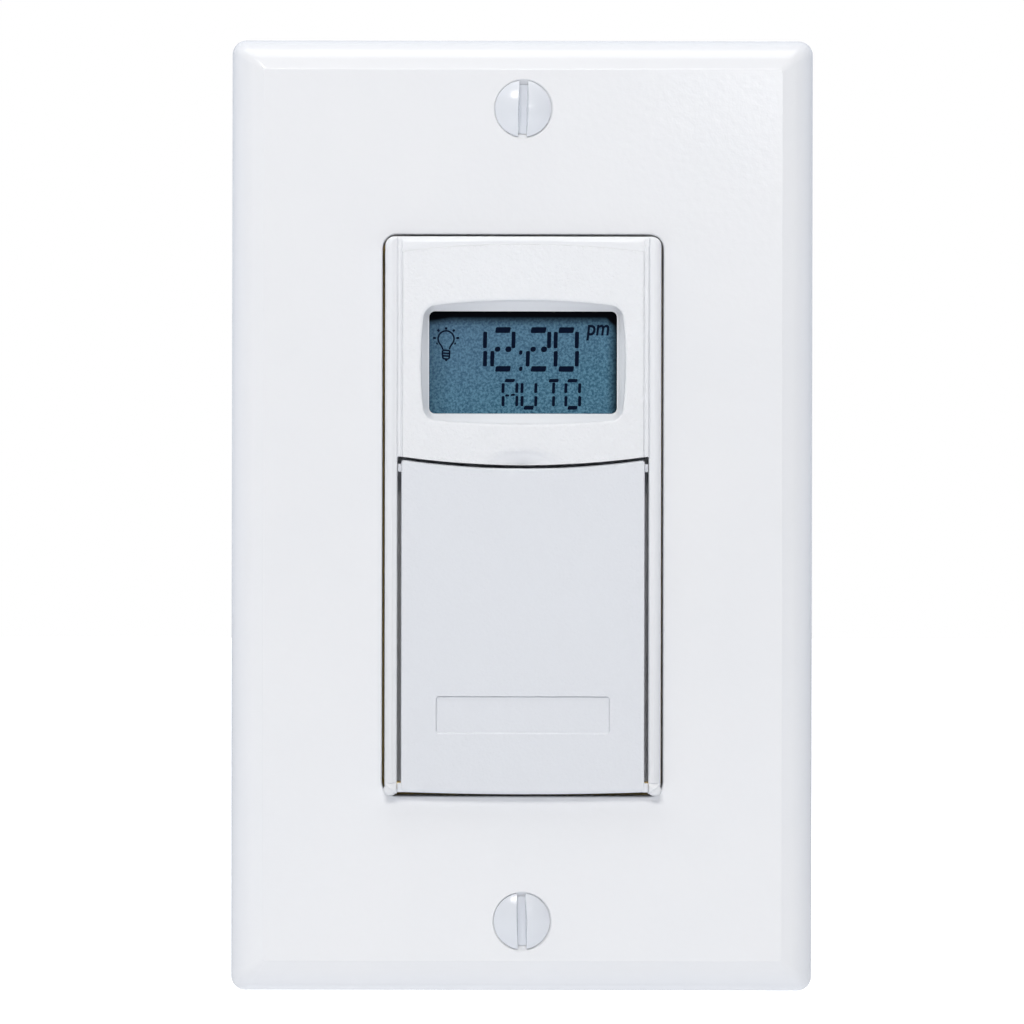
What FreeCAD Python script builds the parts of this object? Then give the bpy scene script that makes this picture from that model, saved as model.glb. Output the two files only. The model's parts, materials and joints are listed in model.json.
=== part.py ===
import FreeCAD, Part
import math
import os

os.makedirs("parts", exist_ok=True)

# Millimetres. X to the right, Y into the wall, Z up. The wall's surface is y = 0.
# The origin is midway between the two screws that hold the timer to its wall box.

plate_width = 69.85
plate_height = 114.3
plate_depth = 5.6
plate_wall = 2.0
plate_rim_wall = 1.6
plate_straight_edge = 1.2
plate_roll = 3.7
plate_corner_r = 1.7
opening_width = 33.5
opening_height = 67.0
opening_corner_r = 1.75
opening_edge_round = 0.2
opening_rim_width = 1.4
opening_rim_depth = 0.9
plate_boss_r = 4.6
plate_boss_depth = 0.5
plate_rib = 0.9

plate_screw_z = 48.42
plate_screw_head_r = 3.35
plate_screw_dome = 0.85
plate_screw_cone = 1.85
plate_screw_thread_r = 1.75
plate_screw_tip_y = 8.1
plate_screw_sink = 0.05
plate_screw_slot = 1.13
plate_screw_slot_depth = 1.0
plate_screw_lean = (1.5, -1.0)

strap_thick = 1.2
strap_beyond_flange = (0.6, 1.9)
strap_corner_r = 2.5
strap_window_gap = 0.2
strap_window_r = 1.8
ear_half_width = 18.5
ear_to_plate_end = 4.25
ear_corner_r = 5.0
ear_notch_r = 4.2
ear_notch_in = 0.4
ear_score_x = 11.0
ear_score_width = 1.0
ear_score_z = (-7.3, -2.3)
box_slot_half_length = 3.75
box_slot_r = 2.0
ground_tab_width = 8.0
ground_tab_above_end = 1.5
ground_tab_back = 9.0
ground_screw_y = 4.6
ground_screw_thread_r = 2.0
ground_screw_washer_r = 3.9
ground_screw_washer = 0.6
ground_screw_hex_r = 3.5
ground_screw_hex = 1.6
ground_screw_past_tab = 0.2

box_screw_z = 41.67
box_screw_head_r = 3.5
box_screw_head = 1.9
box_screw_neck_r = 1.45
box_screw_neck_end_y = 1.2
box_screw_thread_r = 1.75
box_screw_tip_y = 22.0
retainer_side = 9.0
retainer_thick = 0.8
retainer_corner_r = 1.0

insert_gap = (0.35, 0.4)
insert_half_width = opening_width / 2 - insert_gap[0]
insert_half_height = opening_height / 2 - insert_gap[1]
insert_corner_r = 1.65
insert_front = -7.4
insert_edge_round = 0.8
insert_wall = 1.4
panel_back = -5.7
deck_front = -3.2
deck_back = -1.8
flange_margin = (4.6, 1.4)
flange_half_width = insert_half_width + flange_margin[0]
flange_half_height = insert_half_height + flange_margin[1]
flange_corner_r = 2.0
flange_back = 2.2
rail_width = 1.46
rail_inner = insert_half_width - rail_width
bezel_edge_centre_z = 5.93
bezel_edge_sag = 1.04
bezel_edge_side_z = bezel_edge_centre_z + bezel_edge_sag
lcd_bay_bottom = bezel_edge_side_z + 1.23
key_bay_top = lcd_bay_bottom - 0.8
scoop_half_width = 5.0
scoop_height = 2.07
scoop_depth = 1.2
window_to_rail = 3.81
window_half_width = rail_inner - window_to_rail
window_z = (12.09, 24.27)
window_corner_r = 0.7
dish_corner_x = window_half_width + 0.42
dish_side_x = window_half_width + 1.27
dish_corner_z = (window_z[0] - 0.79, window_z[1] + 0.83)
dish_middle_z = (window_z[0] - 1.59, window_z[1] + 1.41)
dish_corner_r = 1.2
dish_depth = 1.0

strap_half_width = flange_half_width + strap_beyond_flange[0]
strap_half_height = flange_half_height + strap_beyond_flange[1]
strap_window_half_width = insert_half_width + strap_window_gap
strap_window_half_height = insert_half_height + strap_window_gap
ear_top = plate_height / 2 - ear_to_plate_end
ear_notch_x = ear_half_width + 1.1
ear_notch_z = strap_half_height + ear_notch_r - ear_notch_in
ground_tab_z0 = -strap_half_height + strap_corner_r + ground_tab_above_end - 0.6
ground_tab_z = (ground_tab_z0, ground_tab_z0 + ground_tab_width)

housing_screw_in = (2.1, 3.9)
housing_screw_x = flange_half_width - housing_screw_in[0]
housing_screw_z = flange_half_height - housing_screw_in[1]
housing_screw_head_r = 1.8
housing_screw_head = 1.2
housing_screw_thread_r = 1.15
housing_screw_tip_y = 11.0
housing_screw_hole_r = 1.4

hinge_y = -6.1
hinge_z = -insert_half_height + 1.0
hinge_pin_r = 0.5
hinge_pin_in_rail = 0.66
hinge_pin_end_room = 0.15
hinge_pin_half_length = rail_inner + hinge_pin_in_rail
hinge_barrel_r = 0.95
hinge_barrel_length = 5.46
door_front = -7.2
door_back = -5.8
door_side_gap = 0.48
door_half_width = rail_inner - door_side_gap
door_gap = 0.4
door_bottom_centre_z = -insert_half_height + 0.03
door_bottom_side_z = -insert_half_height + 0.3
door_top_round = 0.4
door_bottom_round = 0.6
door_flange = 1.1
door_flange_back = -4.8
door_flange_z = (hinge_z + 1.2, bezel_edge_centre_z - door_gap - 1.1)
door_lug_gap = 0.3
door_lug_half_width = rail_inner - door_lug_gap
door_tab_z = (bezel_edge_centre_z - door_gap - 0.4, bezel_edge_centre_z - door_gap + 0.54)
door_tab_y = (-6.5, -5.2)
door_lug_z = (hinge_z - 0.8, hinge_z + 0.25)
badge_half_width = 10.3
badge_z = (-25.98, -21.53)
badge_depth = 0.18
badge_corner_r = 0.5

fit_radial = 0.04
thread_radial = 0.03
key_gap = 0.3
key_flange_step = 0.6
key_flange_y = (-1.5, -0.9)
key_post_r = 1.5
key_post_end_y = -0.6
key_top = -4.3
key_edge_cut = 0.25
key_corner_r = 0.8
small_key_half = (3.0, 2.0)
small_key_below_bezel = 5.33
small_key_z = bezel_edge_centre_z - small_key_below_bezel
small_key_to_rail = 2.74
small_key_step = rail_inner - small_key_half[0] - small_key_to_rail
small_key_x = {"minus_button": -small_key_step, "mode_button": 0.0, "plus_button": small_key_step}
on_off_key_top = -4.9
key_rows_apart = 8.66
on_off_key_z = small_key_z - key_rows_apart
press_rib_gap = 0.35
press_rib_half = (5.0, 0.6)
reset_key_r = 1.3
reset_key_to_rail = 3.04
reset_key_x = -(rail_inner - reset_key_r - reset_key_to_rail)
on_off_key_to_rail = 2.54
on_off_key_to_reset = 4.3
on_off_key_right = rail_inner - on_off_key_to_rail
on_off_key_left = reset_key_x + reset_key_r + on_off_key_to_reset
on_off_key_half = ((on_off_key_right - on_off_key_left) / 2, 2.6)
on_off_key_x = (on_off_key_right + on_off_key_left) / 2
reset_key_top = -3.7
switch_half = 3.0
switch_front = 0.3
switch_bore_depth = 1.9
plunger_r = 1.5
plunger_end_y = 1.3

lcd_film_half_width = window_half_width + 0.87
lcd_film_z = (window_z[0] - 0.89, window_z[1] + 0.93)
lcd_film_thick = 0.2
lcd_film_front = panel_back + 0.05
lcd_glass_half_width = lcd_film_half_width + 0.6
lcd_glass_z = (lcd_film_z[0] - 0.6, lcd_film_z[1] + 1.6)
lcd_glass_thick = 1.8
light_guide_thick = 2.0
light_guide_leg_half_width = 3.0
light_guide_leg_z = (lcd_film_z[0], lcd_film_z[0] + 1.0)
light_guide_leg_end_y = 1.9
led_x = 1.6
led_half_width = 0.9
holder_half_width = lcd_glass_half_width + 1.2
holder_z = (lcd_glass_z[0] - 0.8, lcd_glass_z[1] + 0.8)
holder_gap = 0.05
holder_shelf = 1.0
holder_shelf_half_width = lcd_film_half_width - 1.2
holder_shelf_z = (lcd_film_z[0] + 1.4, lcd_film_z[1] - 0.8)
strip_half_width = lcd_film_half_width - 0.2
strip_z = (lcd_film_z[1] + 0.4, lcd_film_z[1] + 1.4)

battery_y = 6.5
battery_above_foot = 11.0
battery_z = -insert_half_height + battery_above_foot
battery_r = 7.8
battery_to_rail = 1.44
battery_half_length = rail_inner - battery_to_rail
battery_button_r = 2.9
battery_button = 0.8
tray_gap = 0.05
tray_wall = 0.4
tray_reach = battery_r + tray_gap + tray_wall
tray_past_battery = 0.7
tray_half_width = battery_half_length + tray_past_battery
tray_plate_back = -1.9
tray_end_gap = 0.05
tray_end_wall = 0.5
tray_end_notch_half = 3.8
tray_end_notch_y = 1.5
tray_grip_half_width = 4.0
tray_grip_above_battery = 6.4
tray_grip_thick = 1.0
tray_grip_z = (battery_z + tray_grip_above_battery, battery_z + tray_grip_above_battery + tray_grip_thick)
tray_grip_front = -3.9
tray_opening_gap = (0.2, 0.25)
contact_leaf = (0.7, 0.4)
contact_half_height = 3.0
contact_front_y = 2.5
contact_bump_r = 2.4
contact_bump_gap = 0.02

control_board_half_width = insert_half_width - insert_wall - 0.5
control_board_z = (battery_z + tray_reach + 0.95, insert_half_height - 1.8)
control_board_y = (3.0, 4.6)
board_rest_z = (control_board_z[0] + 0.2, control_board_z[0] + 0.8)
board_rest_half_width = control_board_half_width - 1.5
board_screw_x = (control_board_half_width - 1.6, control_board_half_width - 1.3)
board_screw_z = (control_board_z[1] - 1.6, lcd_bay_bottom - 1.6)
board_screw_places = [(side * x, z) for x, z in zip(board_screw_x, board_screw_z) for side in (-1, 1)]
board_boss_r = 1.7
board_screw_thread_r = 0.75
board_screw_head_r = 1.7
board_screw_head = 1.1
board_screw_length = 3.6
chip_side = 10.0
chip_z = 19.0
chip_thick = 1.2
crystal_to_board_edge = 6.1
crystal_place = (control_board_half_width - crystal_to_board_edge, 10.0)
crystal_half_length = 2.2
crystal_r = 1.1
connector_half_width = 8.0
connector_z = (-1.2, 2.0)
connector_split_y = 9.8
connector_overlap = 2.5
connector_socket_wall = 0.5

rear_wall = 2.0
rear_back = 33.0
rear_edge_round = 1.2
tower_half = (2.3, 2.2)
tower_end_y = 14.0
power_board_gap = (0.6, 0.7)
power_board_half_width = flange_half_width - rear_wall - power_board_gap[0]
power_board_half_height = flange_half_height - rear_wall - power_board_gap[1]
power_board_y = (15.0, 16.6)
tower_room = (0.4, 0.5)
post_in = (2.0, 5.6)
post_place = (power_board_half_width - post_in[0], power_board_half_height - post_in[1])
post_r = 1.6
post_screw_length = 3.6
terminal_y = 24.5
pocket_depth = 5.5
pocket_half = 5.0
pocket_wall = 1.5
pocket_floor_x = flange_half_width - pocket_depth
upper_terminal_z = 16.5
terminal_step = 19.5
terminal_places = (
    (-1, upper_terminal_z),
    (-1, upper_terminal_z - terminal_step),
    (1, upper_terminal_z),
)
terminal_plate_thick = 1.0
terminal_plate_half = (4.4, 3.6)
terminal_leg_half = 1.6
terminal_clamp_gap = 0.5
terminal_clamp_thick = 1.0
terminal_clamp_half = 3.6
terminal_clamp_x = pocket_floor_x + terminal_plate_thick + terminal_clamp_gap
terminal_head = 2.4
terminal_head_r = 3.4
terminal_thread_r = 1.9
wire_hole_from_floor = 1.8
wire_hole_x = pocket_floor_x + wire_hole_from_floor
wire_hole_z = 2.9
wire_hole_r = 1.5

board_edge_z = -power_board_half_height
relay_to_side = 5.4
relay_width = 10.4
relay_to_edge = 1.4
relay_length = 20.2
relay_x = -power_board_half_width + relay_to_side
relay_z = board_edge_z + relay_to_edge
relay_box = (relay_x, relay_x + relay_width, relay_z, relay_z + relay_length)
relay_height = 12.4
film_capacitor_box = (-12.8, 4.8, 6.6, 13.6)
film_capacitor_height = 12.0
filter_capacitor_x = 5.6
filter_capacitor_to_edge = 15.2
filter_capacitor_place = (filter_capacitor_x, board_edge_z + filter_capacitor_to_edge)
filter_capacitor_r = 4.1
filter_capacitor_height = 12.0
varistor_x = (5.0, 9.2)
varistor_to_edge = 7.8
varistor_z = power_board_half_height - varistor_to_edge
varistor_r = 5.3
varistor_lift = 0.1
rectifier_box = (7.6, 12.8, -5.0, 3.0)
rectifier_height = 3.4
fuse_x = 11.0
fuse_to_edge = 1.2
fuse_length = 8.2
fuse_z = (board_edge_z + fuse_to_edge, board_edge_z + fuse_to_edge + fuse_length)
fuse_r = 1.7


def point(x, y, z):
    return FreeCAD.Vector(x, y, z)


def box(x0, x1, y0, y1, z0, z1):
    return Part.makeBox(x1 - x0, y1 - y0, z1 - z0, point(x0, y0, z0))


def rod_y(x, z, r, y0, y1):
    return Part.makeCylinder(r, y1 - y0, point(x, y0, z), point(0, 1, 0))


def rod_x(y, z, r, x0, x1):
    return Part.makeCylinder(r, x1 - x0, point(x0, y, z), point(1, 0, 0))


def rod_z(x, y, r, z0, z1):
    return Part.makeCylinder(r, z1 - z0, point(x, y, z0), point(0, 0, 1))


def line(a, b):
    return Part.LineSegment(a, b).toShape()


def arc(a, middle, b):
    return Part.Arc(a, middle, b).toShape()


def rounded_outline(x0, x1, z0, z1, r, y):
    bend = r * (1 - math.sqrt(0.5))
    edges = [
        line(point(x0 + r, y, z0), point(x1 - r, y, z0)),
        arc(point(x1 - r, y, z0), point(x1 - bend, y, z0 + bend), point(x1, y, z0 + r)),
        line(point(x1, y, z0 + r), point(x1, y, z1 - r)),
        arc(point(x1, y, z1 - r), point(x1 - bend, y, z1 - bend), point(x1 - r, y, z1)),
        line(point(x1 - r, y, z1), point(x0 + r, y, z1)),
        arc(point(x0 + r, y, z1), point(x0 + bend, y, z1 - bend), point(x0, y, z1 - r)),
        line(point(x0, y, z1 - r), point(x0, y, z0 + r)),
        arc(point(x0, y, z0 + r), point(x0 + bend, y, z0 + bend), point(x0 + r, y, z0)),
    ]
    return Part.Wire(edges)


def bulged_outline(corner_x, side_x, corner_z, middle_z, r, y):
    # Four gently bowed sides joined by rounded corners.
    z0, z1 = corner_z
    centre_z = (middle_z[0] + middle_z[1]) / 2
    bend = r * (1 - math.sqrt(0.5))
    edges = [
        arc(point(-corner_x + r, y, z0), point(0, y, middle_z[0]), point(corner_x - r, y, z0)),
        arc(point(corner_x - r, y, z0), point(corner_x - bend, y, z0 + bend), point(corner_x, y, z0 + r)),
        arc(point(corner_x, y, z0 + r), point(side_x, y, centre_z), point(corner_x, y, z1 - r)),
        arc(point(corner_x, y, z1 - r), point(corner_x - bend, y, z1 - bend), point(corner_x - r, y, z1)),
        arc(point(corner_x - r, y, z1), point(0, y, middle_z[1]), point(-corner_x + r, y, z1)),
        arc(point(-corner_x + r, y, z1), point(-corner_x + bend, y, z1 - bend), point(-corner_x, y, z1 - r)),
        arc(point(-corner_x, y, z1 - r), point(-side_x, y, centre_z), point(-corner_x, y, z0 + r)),
        arc(point(-corner_x, y, z0 + r), point(-corner_x + bend, y, z0 + bend), point(-corner_x + r, y, z0)),
    ]
    return Part.Wire(edges)


def sweep_y(outline, depth):
    return Part.Face(outline).extrude(point(0, depth, 0))


def slab(x0, x1, y0, y1, z0, z1, r):
    return sweep_y(rounded_outline(x0, x1, z0, z1, r, y0), y1 - y0)


def turned(profile):
    # Turns a profile of (radius, y) points about the Y axis.
    points = [point(r, y, 0) for r, y in profile]
    return Part.Face(Part.makePolygon(points + [points[0]])).revolve(point(0, 0, 0), point(0, 1, 0), 360)


def domed_profile(rim_r, rim_y, dome, below, steps=2):
    # A domed head from its top to its rim, followed by the points below it.
    ball = (rim_r ** 2 + dome ** 2) / (2 * dome)
    top = []
    for n in range(steps + 1):
        angle = math.asin(rim_r / ball) * n / steps
        top.append((ball * math.sin(angle), rim_y - dome + ball * (1 - math.cos(angle))))
    return top + below


def edges_at_y(shape, y, half_x=None, half_z=None, beyond=False):
    found = []
    for edge in shape.Edges:
        b = edge.BoundBox
        if abs(b.YMin - y) > 1e-4 or abs(b.YMax - y) > 1e-4:
            continue
        if half_x is not None:
            inside = max(abs(b.XMin), abs(b.XMax)) < half_x and max(abs(b.ZMin), abs(b.ZMax)) < half_z
            if inside == beyond:
                continue
        found.append(edge)
    return found


def rolled_section(half, across):
    # The plate's section: a flat front that rolls over into a straight edge on both sides.
    drop = plate_depth - plate_straight_edge
    roll_r = (plate_roll ** 2 + drop ** 2) / (2 * drop)
    half_turn = math.asin(plate_roll / roll_r) / 2
    spots = [
        (half, 0),
        (half, -plate_straight_edge),
        (half - plate_roll + roll_r * math.sin(half_turn), -plate_depth + roll_r * (1 - math.cos(half_turn))),
        (half - plate_roll, -plate_depth),
    ]
    right = [point(u, y, 0) if across else point(0, y, u) for u, y in spots]
    left = [point(-p.x, p.y, -p.z) for p in right]
    return Part.Wire([
        line(left[0], right[0]),
        line(right[0], right[1]),
        arc(right[1], right[2], right[3]),
        line(right[3], left[3]),
        arc(left[3], left[2], left[1]),
        line(left[1], left[0]),
    ])


def wall_plate():
    half_x = plate_width / 2
    half_z = plate_height / 2
    body = slab(-half_x, half_x, -plate_depth, 0, -half_z, half_z, plate_corner_r)
    wide = Part.Face(rolled_section(half_x, True)).extrude(point(0, 0, plate_height))
    wide.translate(point(0, 0, -half_z))
    tall = Part.Face(rolled_section(half_z, False)).extrude(point(plate_width, 0, 0))
    tall.translate(point(-half_x, 0, 0))
    body = body.common(wide).common(tall)

    inner_y = -(plate_depth - plate_wall)
    rim_x = half_x - plate_rim_wall
    rim_z = half_z - plate_rim_wall
    inner_x = half_x - plate_roll
    inner_z = half_z - plate_roll
    straight = plate_straight_edge * 0.75
    hollow = slab(-rim_x, rim_x, -straight, 1, -rim_z, rim_z, 0.8)
    low = rounded_outline(-rim_x, rim_x, -rim_z, rim_z, 0.8, -straight)
    high = rounded_outline(-inner_x, inner_x, -inner_z, inner_z, 0.8, inner_y)
    hollow = hollow.fuse(Part.makeLoft([low, high], True, True))
    body = body.cut(hollow)

    open_x = opening_width / 2
    open_z = opening_height / 2
    rim = slab(
        -open_x - opening_rim_width, open_x + opening_rim_width, inner_y, inner_y + opening_rim_depth,
        -open_z - opening_rim_width, open_z + opening_rim_width, opening_corner_r,
    )
    body = body.fuse(rim)
    for sign in (-1, 1):
        z = sign * plate_screw_z
        body = body.fuse(rod_y(0, z, plate_boss_r, inner_y - 0.1, inner_y + plate_boss_depth))
        for side in (-1, 1):
            x0, x1 = sorted((side * plate_boss_r * 0.8, side * (inner_x + plate_rib)))
            body = body.fuse(
                box(x0, x1, inner_y - 0.1, inner_y + plate_rib, z - plate_rib / 2, z + plate_rib / 2)
            )
    opening = slab(-open_x, open_x, -plate_depth - 1, 1, -open_z, open_z, opening_corner_r)
    body = body.cut(opening)
    for sign in (-1, 1):
        z = sign * plate_screw_z
        rim_r = plate_screw_head_r + 0.08
        hole_r = plate_screw_thread_r + 0.2
        y = -plate_depth
        sink = Part.makeCone(rim_r, hole_r, plate_screw_cone * 0.94, point(0, y, z), point(0, 1, 0))
        body = body.cut(sink).cut(rod_y(0, z, hole_r, y, 0))
    body = body.removeSplitter()
    return body.makeFillet(opening_edge_round, edges_at_y(body, -plate_depth, open_x + 1, open_z + 1))


def plate_screws():
    rim_y = -plate_depth - plate_screw_sink + 0.1
    thread_r = plate_screw_thread_r
    below = [
        (thread_r, rim_y + plate_screw_cone),
        (thread_r, plate_screw_tip_y - 0.6),
        (thread_r - 0.6, plate_screw_tip_y),
        (0, plate_screw_tip_y),
    ]
    profile = domed_profile(plate_screw_head_r, rim_y, plate_screw_dome, below, 5)
    top = rim_y - plate_screw_dome
    screws = []
    for sign, lean in zip((1, -1), plate_screw_lean):
        screw = turned(profile)
        half = plate_screw_slot / 2
        slot = box(-half, half, top - 1, top + plate_screw_slot_depth, -5, 5)
        slot.rotate(point(0, 0, 0), point(0, 1, 0), lean)
        screw = screw.cut(slot)
        screw.translate(point(0, 0, sign * plate_screw_z))
        screws.append(screw)
    return Part.makeCompound(screws)


def mounting_strap():
    body = slab(
        -strap_half_width, strap_half_width, -strap_thick, 0, -strap_half_height, strap_half_height,
        strap_corner_r,
    )
    body = body.fuse(
        slab(-ear_half_width, ear_half_width, -strap_thick, 0, -ear_top, ear_top, ear_corner_r)
    )
    body = body.cut(
        slab(
            -strap_window_half_width, strap_window_half_width, -strap_thick - 1, 1,
            -strap_window_half_height, strap_window_half_height, strap_window_r,
        )
    )
    for sx in (-1, 1):
        for sz in (-1, 1):
            body = body.cut(rod_y(sx * ear_notch_x, sz * ear_notch_z, ear_notch_r, -strap_thick - 1, 1))
            z0, z1 = sorted((sz * (ear_top + ear_score_z[0]), sz * (ear_top + ear_score_z[1])))
            x = sx * ear_score_x
            half = ear_score_width / 2
            body = body.cut(slab(x - half, x + half, -strap_thick - 1, 1, z0, z1, half * 0.8))
            hole = rod_y(
                sx * housing_screw_x, sz * housing_screw_z, housing_screw_hole_r, -strap_thick - 1, 1
            )
            body = body.cut(hole)
    for sz in (-1, 1):
        z = sz * box_screw_z
        slot = slab(
            -box_slot_half_length, box_slot_half_length, -strap_thick - 1, 1, z - box_slot_r,
            z + box_slot_r, box_slot_r * 0.999,
        )
        body = body.cut(slot)
        tapped = rod_y(0, sz * plate_screw_z, plate_screw_thread_r + thread_radial, -strap_thick - 1, 1)
        body = body.cut(tapped)
    tab_x0 = strap_half_width
    tab_x1 = strap_half_width + strap_thick
    z0, z1 = ground_tab_z
    tab = box(tab_x0, tab_x1, -strap_thick, ground_tab_back, z0, z1)
    bend = [edge for edge in tab.Edges if edge.BoundBox.XMin > tab_x1 - 1e-4
            and abs(edge.BoundBox.YMax + strap_thick) < 1e-4]
    tab = tab.makeFillet(strap_thick * 0.8, bend)
    corners = [edge for edge in tab.Edges if edge.BoundBox.YMin > ground_tab_back - 1e-4
               and edge.BoundBox.XLength > strap_thick * 0.9]
    tab = tab.makeFillet(2.0, corners)
    body = body.fuse(tab).fuse(box(tab_x0 - 1, tab_x0, -strap_thick, 0, z0, z1))
    middle = (z0 + z1) / 2
    body = body.cut(
        rod_x(ground_screw_y, middle, ground_screw_thread_r + thread_radial, tab_x0 - 1, tab_x1 + 1)
    )
    return body.removeSplitter()


def box_screws():
    # The screw is full size in the strap's slot, and its retainer sits on the narrow neck behind.
    top = -strap_thick - box_screw_head
    thread_r = box_screw_thread_r
    below = [
        (box_screw_head_r, -strap_thick),
        (thread_r, -strap_thick),
        (thread_r, 0),
        (box_screw_neck_r, 0),
        (box_screw_neck_r, box_screw_neck_end_y),
        (thread_r, box_screw_neck_end_y),
        (thread_r, box_screw_tip_y - 0.6),
        (thread_r - 0.6, box_screw_tip_y),
        (0, box_screw_tip_y),
    ]
    profile = domed_profile(box_screw_head_r, top + 0.9, 0.9, below)[::-1]
    screws = []
    for sign in (1, -1):
        screw = turned(profile)
        screw = screw.cut(box(-0.55, 0.55, top - 1, top + 1.1, -5, 5))
        screw.translate(point(0, 0, sign * box_screw_z))
        screws.append(screw)
    return Part.makeCompound(screws)


def screw_retainers():
    half = retainer_side / 2
    pieces = []
    for sign in (1, -1):
        z = sign * box_screw_z
        piece = slab(-half, half, 0, retainer_thick, z - half, z + half, retainer_corner_r)
        pieces.append(piece.cut(rod_y(0, z, box_screw_neck_r + fit_radial, -1, retainer_thick + 1)))
    return Part.makeCompound(pieces)


def ground_screw():
    x = strap_half_width + strap_thick
    z = (ground_tab_z[0] + ground_tab_z[1]) / 2
    y = ground_screw_y
    body = rod_x(y, z, ground_screw_washer_r, x, x + ground_screw_washer)
    hexagon = []
    for n in range(7):
        angle = math.radians(60 * n)
        hexagon.append(
            point(x + ground_screw_washer, y + ground_screw_hex_r * math.cos(angle),
                  z + ground_screw_hex_r * math.sin(angle))
        )
    body = body.fuse(Part.Face(Part.makePolygon(hexagon)).extrude(point(ground_screw_hex, 0, 0)))
    top = x + ground_screw_washer + ground_screw_hex
    body = body.cut(box(top - 0.9, top + 1, y - 5, y + 5, z - 0.5, z + 0.5))
    shank = rod_x(y, z, ground_screw_thread_r, x - strap_thick - ground_screw_past_tab, x)
    return body.fuse(shank)


def bezel_edge(y, drop, half_x):
    # The bowed lower edge of the bezel, lowered by drop, as an arc from left to right.
    sag = bezel_edge_side_z - bezel_edge_centre_z
    radius = (rail_inner ** 2 + sag ** 2) / (2 * sag) + drop
    centre_z = bezel_edge_centre_z - drop + radius
    side_z = centre_z - math.sqrt(radius ** 2 - half_x ** 2)
    middle = point(0, y, bezel_edge_centre_z - drop)
    return arc(point(-half_x, y, side_z), middle, point(half_x, y, side_z)), side_z


def key_hole(x, z, half_x, half_z, r):
    gap = key_gap
    return slab(
        x - half_x - gap, x + half_x + gap, deck_front - 1, deck_back + 1, z - half_z - gap,
        z + half_z + gap, r + gap,
    )


def front_housing():
    body = slab(
        -insert_half_width, insert_half_width, insert_front, 0.5, -insert_half_height,
        insert_half_height, insert_corner_r,
    )
    body = body.makeFillet(insert_edge_round, edges_at_y(body, insert_front))
    body = body.fuse(
        slab(
            -flange_half_width, flange_half_width, 0, flange_back, -flange_half_height,
            flange_half_height, flange_corner_r,
        )
    )
    inner_x = insert_half_width - insert_wall
    inner_z = insert_half_height - insert_wall
    body = body.cut(slab(-inner_x, inner_x, panel_back, flange_back + 1, lcd_bay_bottom, inner_z, 0.8))
    body = body.cut(slab(-inner_x, inner_x, deck_back, flange_back + 1, -inner_z, key_bay_top, 0.8))

    edge, side_z = bezel_edge(insert_front - 1, 0, rail_inner)
    low = -insert_half_height - 1
    y = insert_front - 1
    recess = Part.Wire([
        edge,
        line(point(rail_inner, y, side_z), point(rail_inner, y, low)),
        line(point(rail_inner, y, low), point(-rail_inner, y, low)),
        line(point(-rail_inner, y, low), point(-rail_inner, y, side_z)),
    ])
    body = body.cut(sweep_y(recess, deck_front - y))

    # The finger scoop: an oval dish that runs out over the door.
    levels = []
    for depth, share in ((-0.2, 1.02), (0.25 * scoop_depth, 0.93), (scoop_depth, 0.55)):
        centre = point(0, insert_front + depth, bezel_edge_centre_z)
        side = centre + point(scoop_half_width * share, 0, 0)
        top = centre + point(0, 0, scoop_height * share)
        levels.append(Part.Wire([Part.Ellipse(side, top, centre).toShape()]))
    body = body.cut(Part.makeLoft(levels, True, True))

    rim = bulged_outline(
        dish_corner_x, dish_side_x, dish_corner_z, dish_middle_z, dish_corner_r, insert_front)
    floor = rounded_outline(
        -window_half_width, window_half_width, window_z[0], window_z[1], window_corner_r,
        insert_front + dish_depth,
    )
    body = body.cut(Part.makeLoft([rim, floor], True, True))
    body = body.cut(
        slab(
            -window_half_width, window_half_width, insert_front - 1, panel_back + 1, window_z[0],
            window_z[1], window_corner_r,
        )
    )

    for x in small_key_x.values():
        body = body.cut(key_hole(x, small_key_z, small_key_half[0], small_key_half[1], key_corner_r))
    body = body.cut(
        key_hole(on_off_key_x, on_off_key_z, on_off_key_half[0], on_off_key_half[1], key_corner_r)
    )
    body = body.cut(
        rod_y(reset_key_x, on_off_key_z, reset_key_r + key_gap, deck_front - 1, deck_back + 1)
    )
    half_x = tray_half_width + tray_opening_gap[0]
    half_z = tray_reach + tray_opening_gap[1]
    body = body.cut(
        slab(-half_x, half_x, deck_front - 1, deck_back + 1, battery_z - half_z, battery_z + half_z, 0.5)
    )

    for x, z in board_screw_places:
        start = panel_back if z > lcd_bay_bottom else deck_back
        body = body.fuse(rod_y(x, z, board_boss_r, start - 0.1, control_board_y[0]))
        hole_r = board_screw_thread_r + thread_radial
        hole_y = control_board_y[0] - board_screw_length - 0.4
        body = body.cut(rod_y(x, z, hole_r, hole_y, control_board_y[0] + 1))
    half = board_rest_half_width
    body = body.fuse(
        box(-half, half, deck_back - 0.1, control_board_y[0], board_rest_z[0], board_rest_z[1])
    )
    for sign in (-1, 1):
        x0, x1 = sorted((sign * (rail_inner - 0.5), sign * (hinge_pin_half_length + hinge_pin_end_room)))
        body = body.cut(rod_x(hinge_y, hinge_z, hinge_pin_r + fit_radial, x0, x1))
        for sz in (-1, 1):
            body = body.cut(
                rod_y(sign * housing_screw_x, sz * housing_screw_z, housing_screw_hole_r, -1, flange_back + 1)
            )
    return body.removeSplitter()


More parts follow.
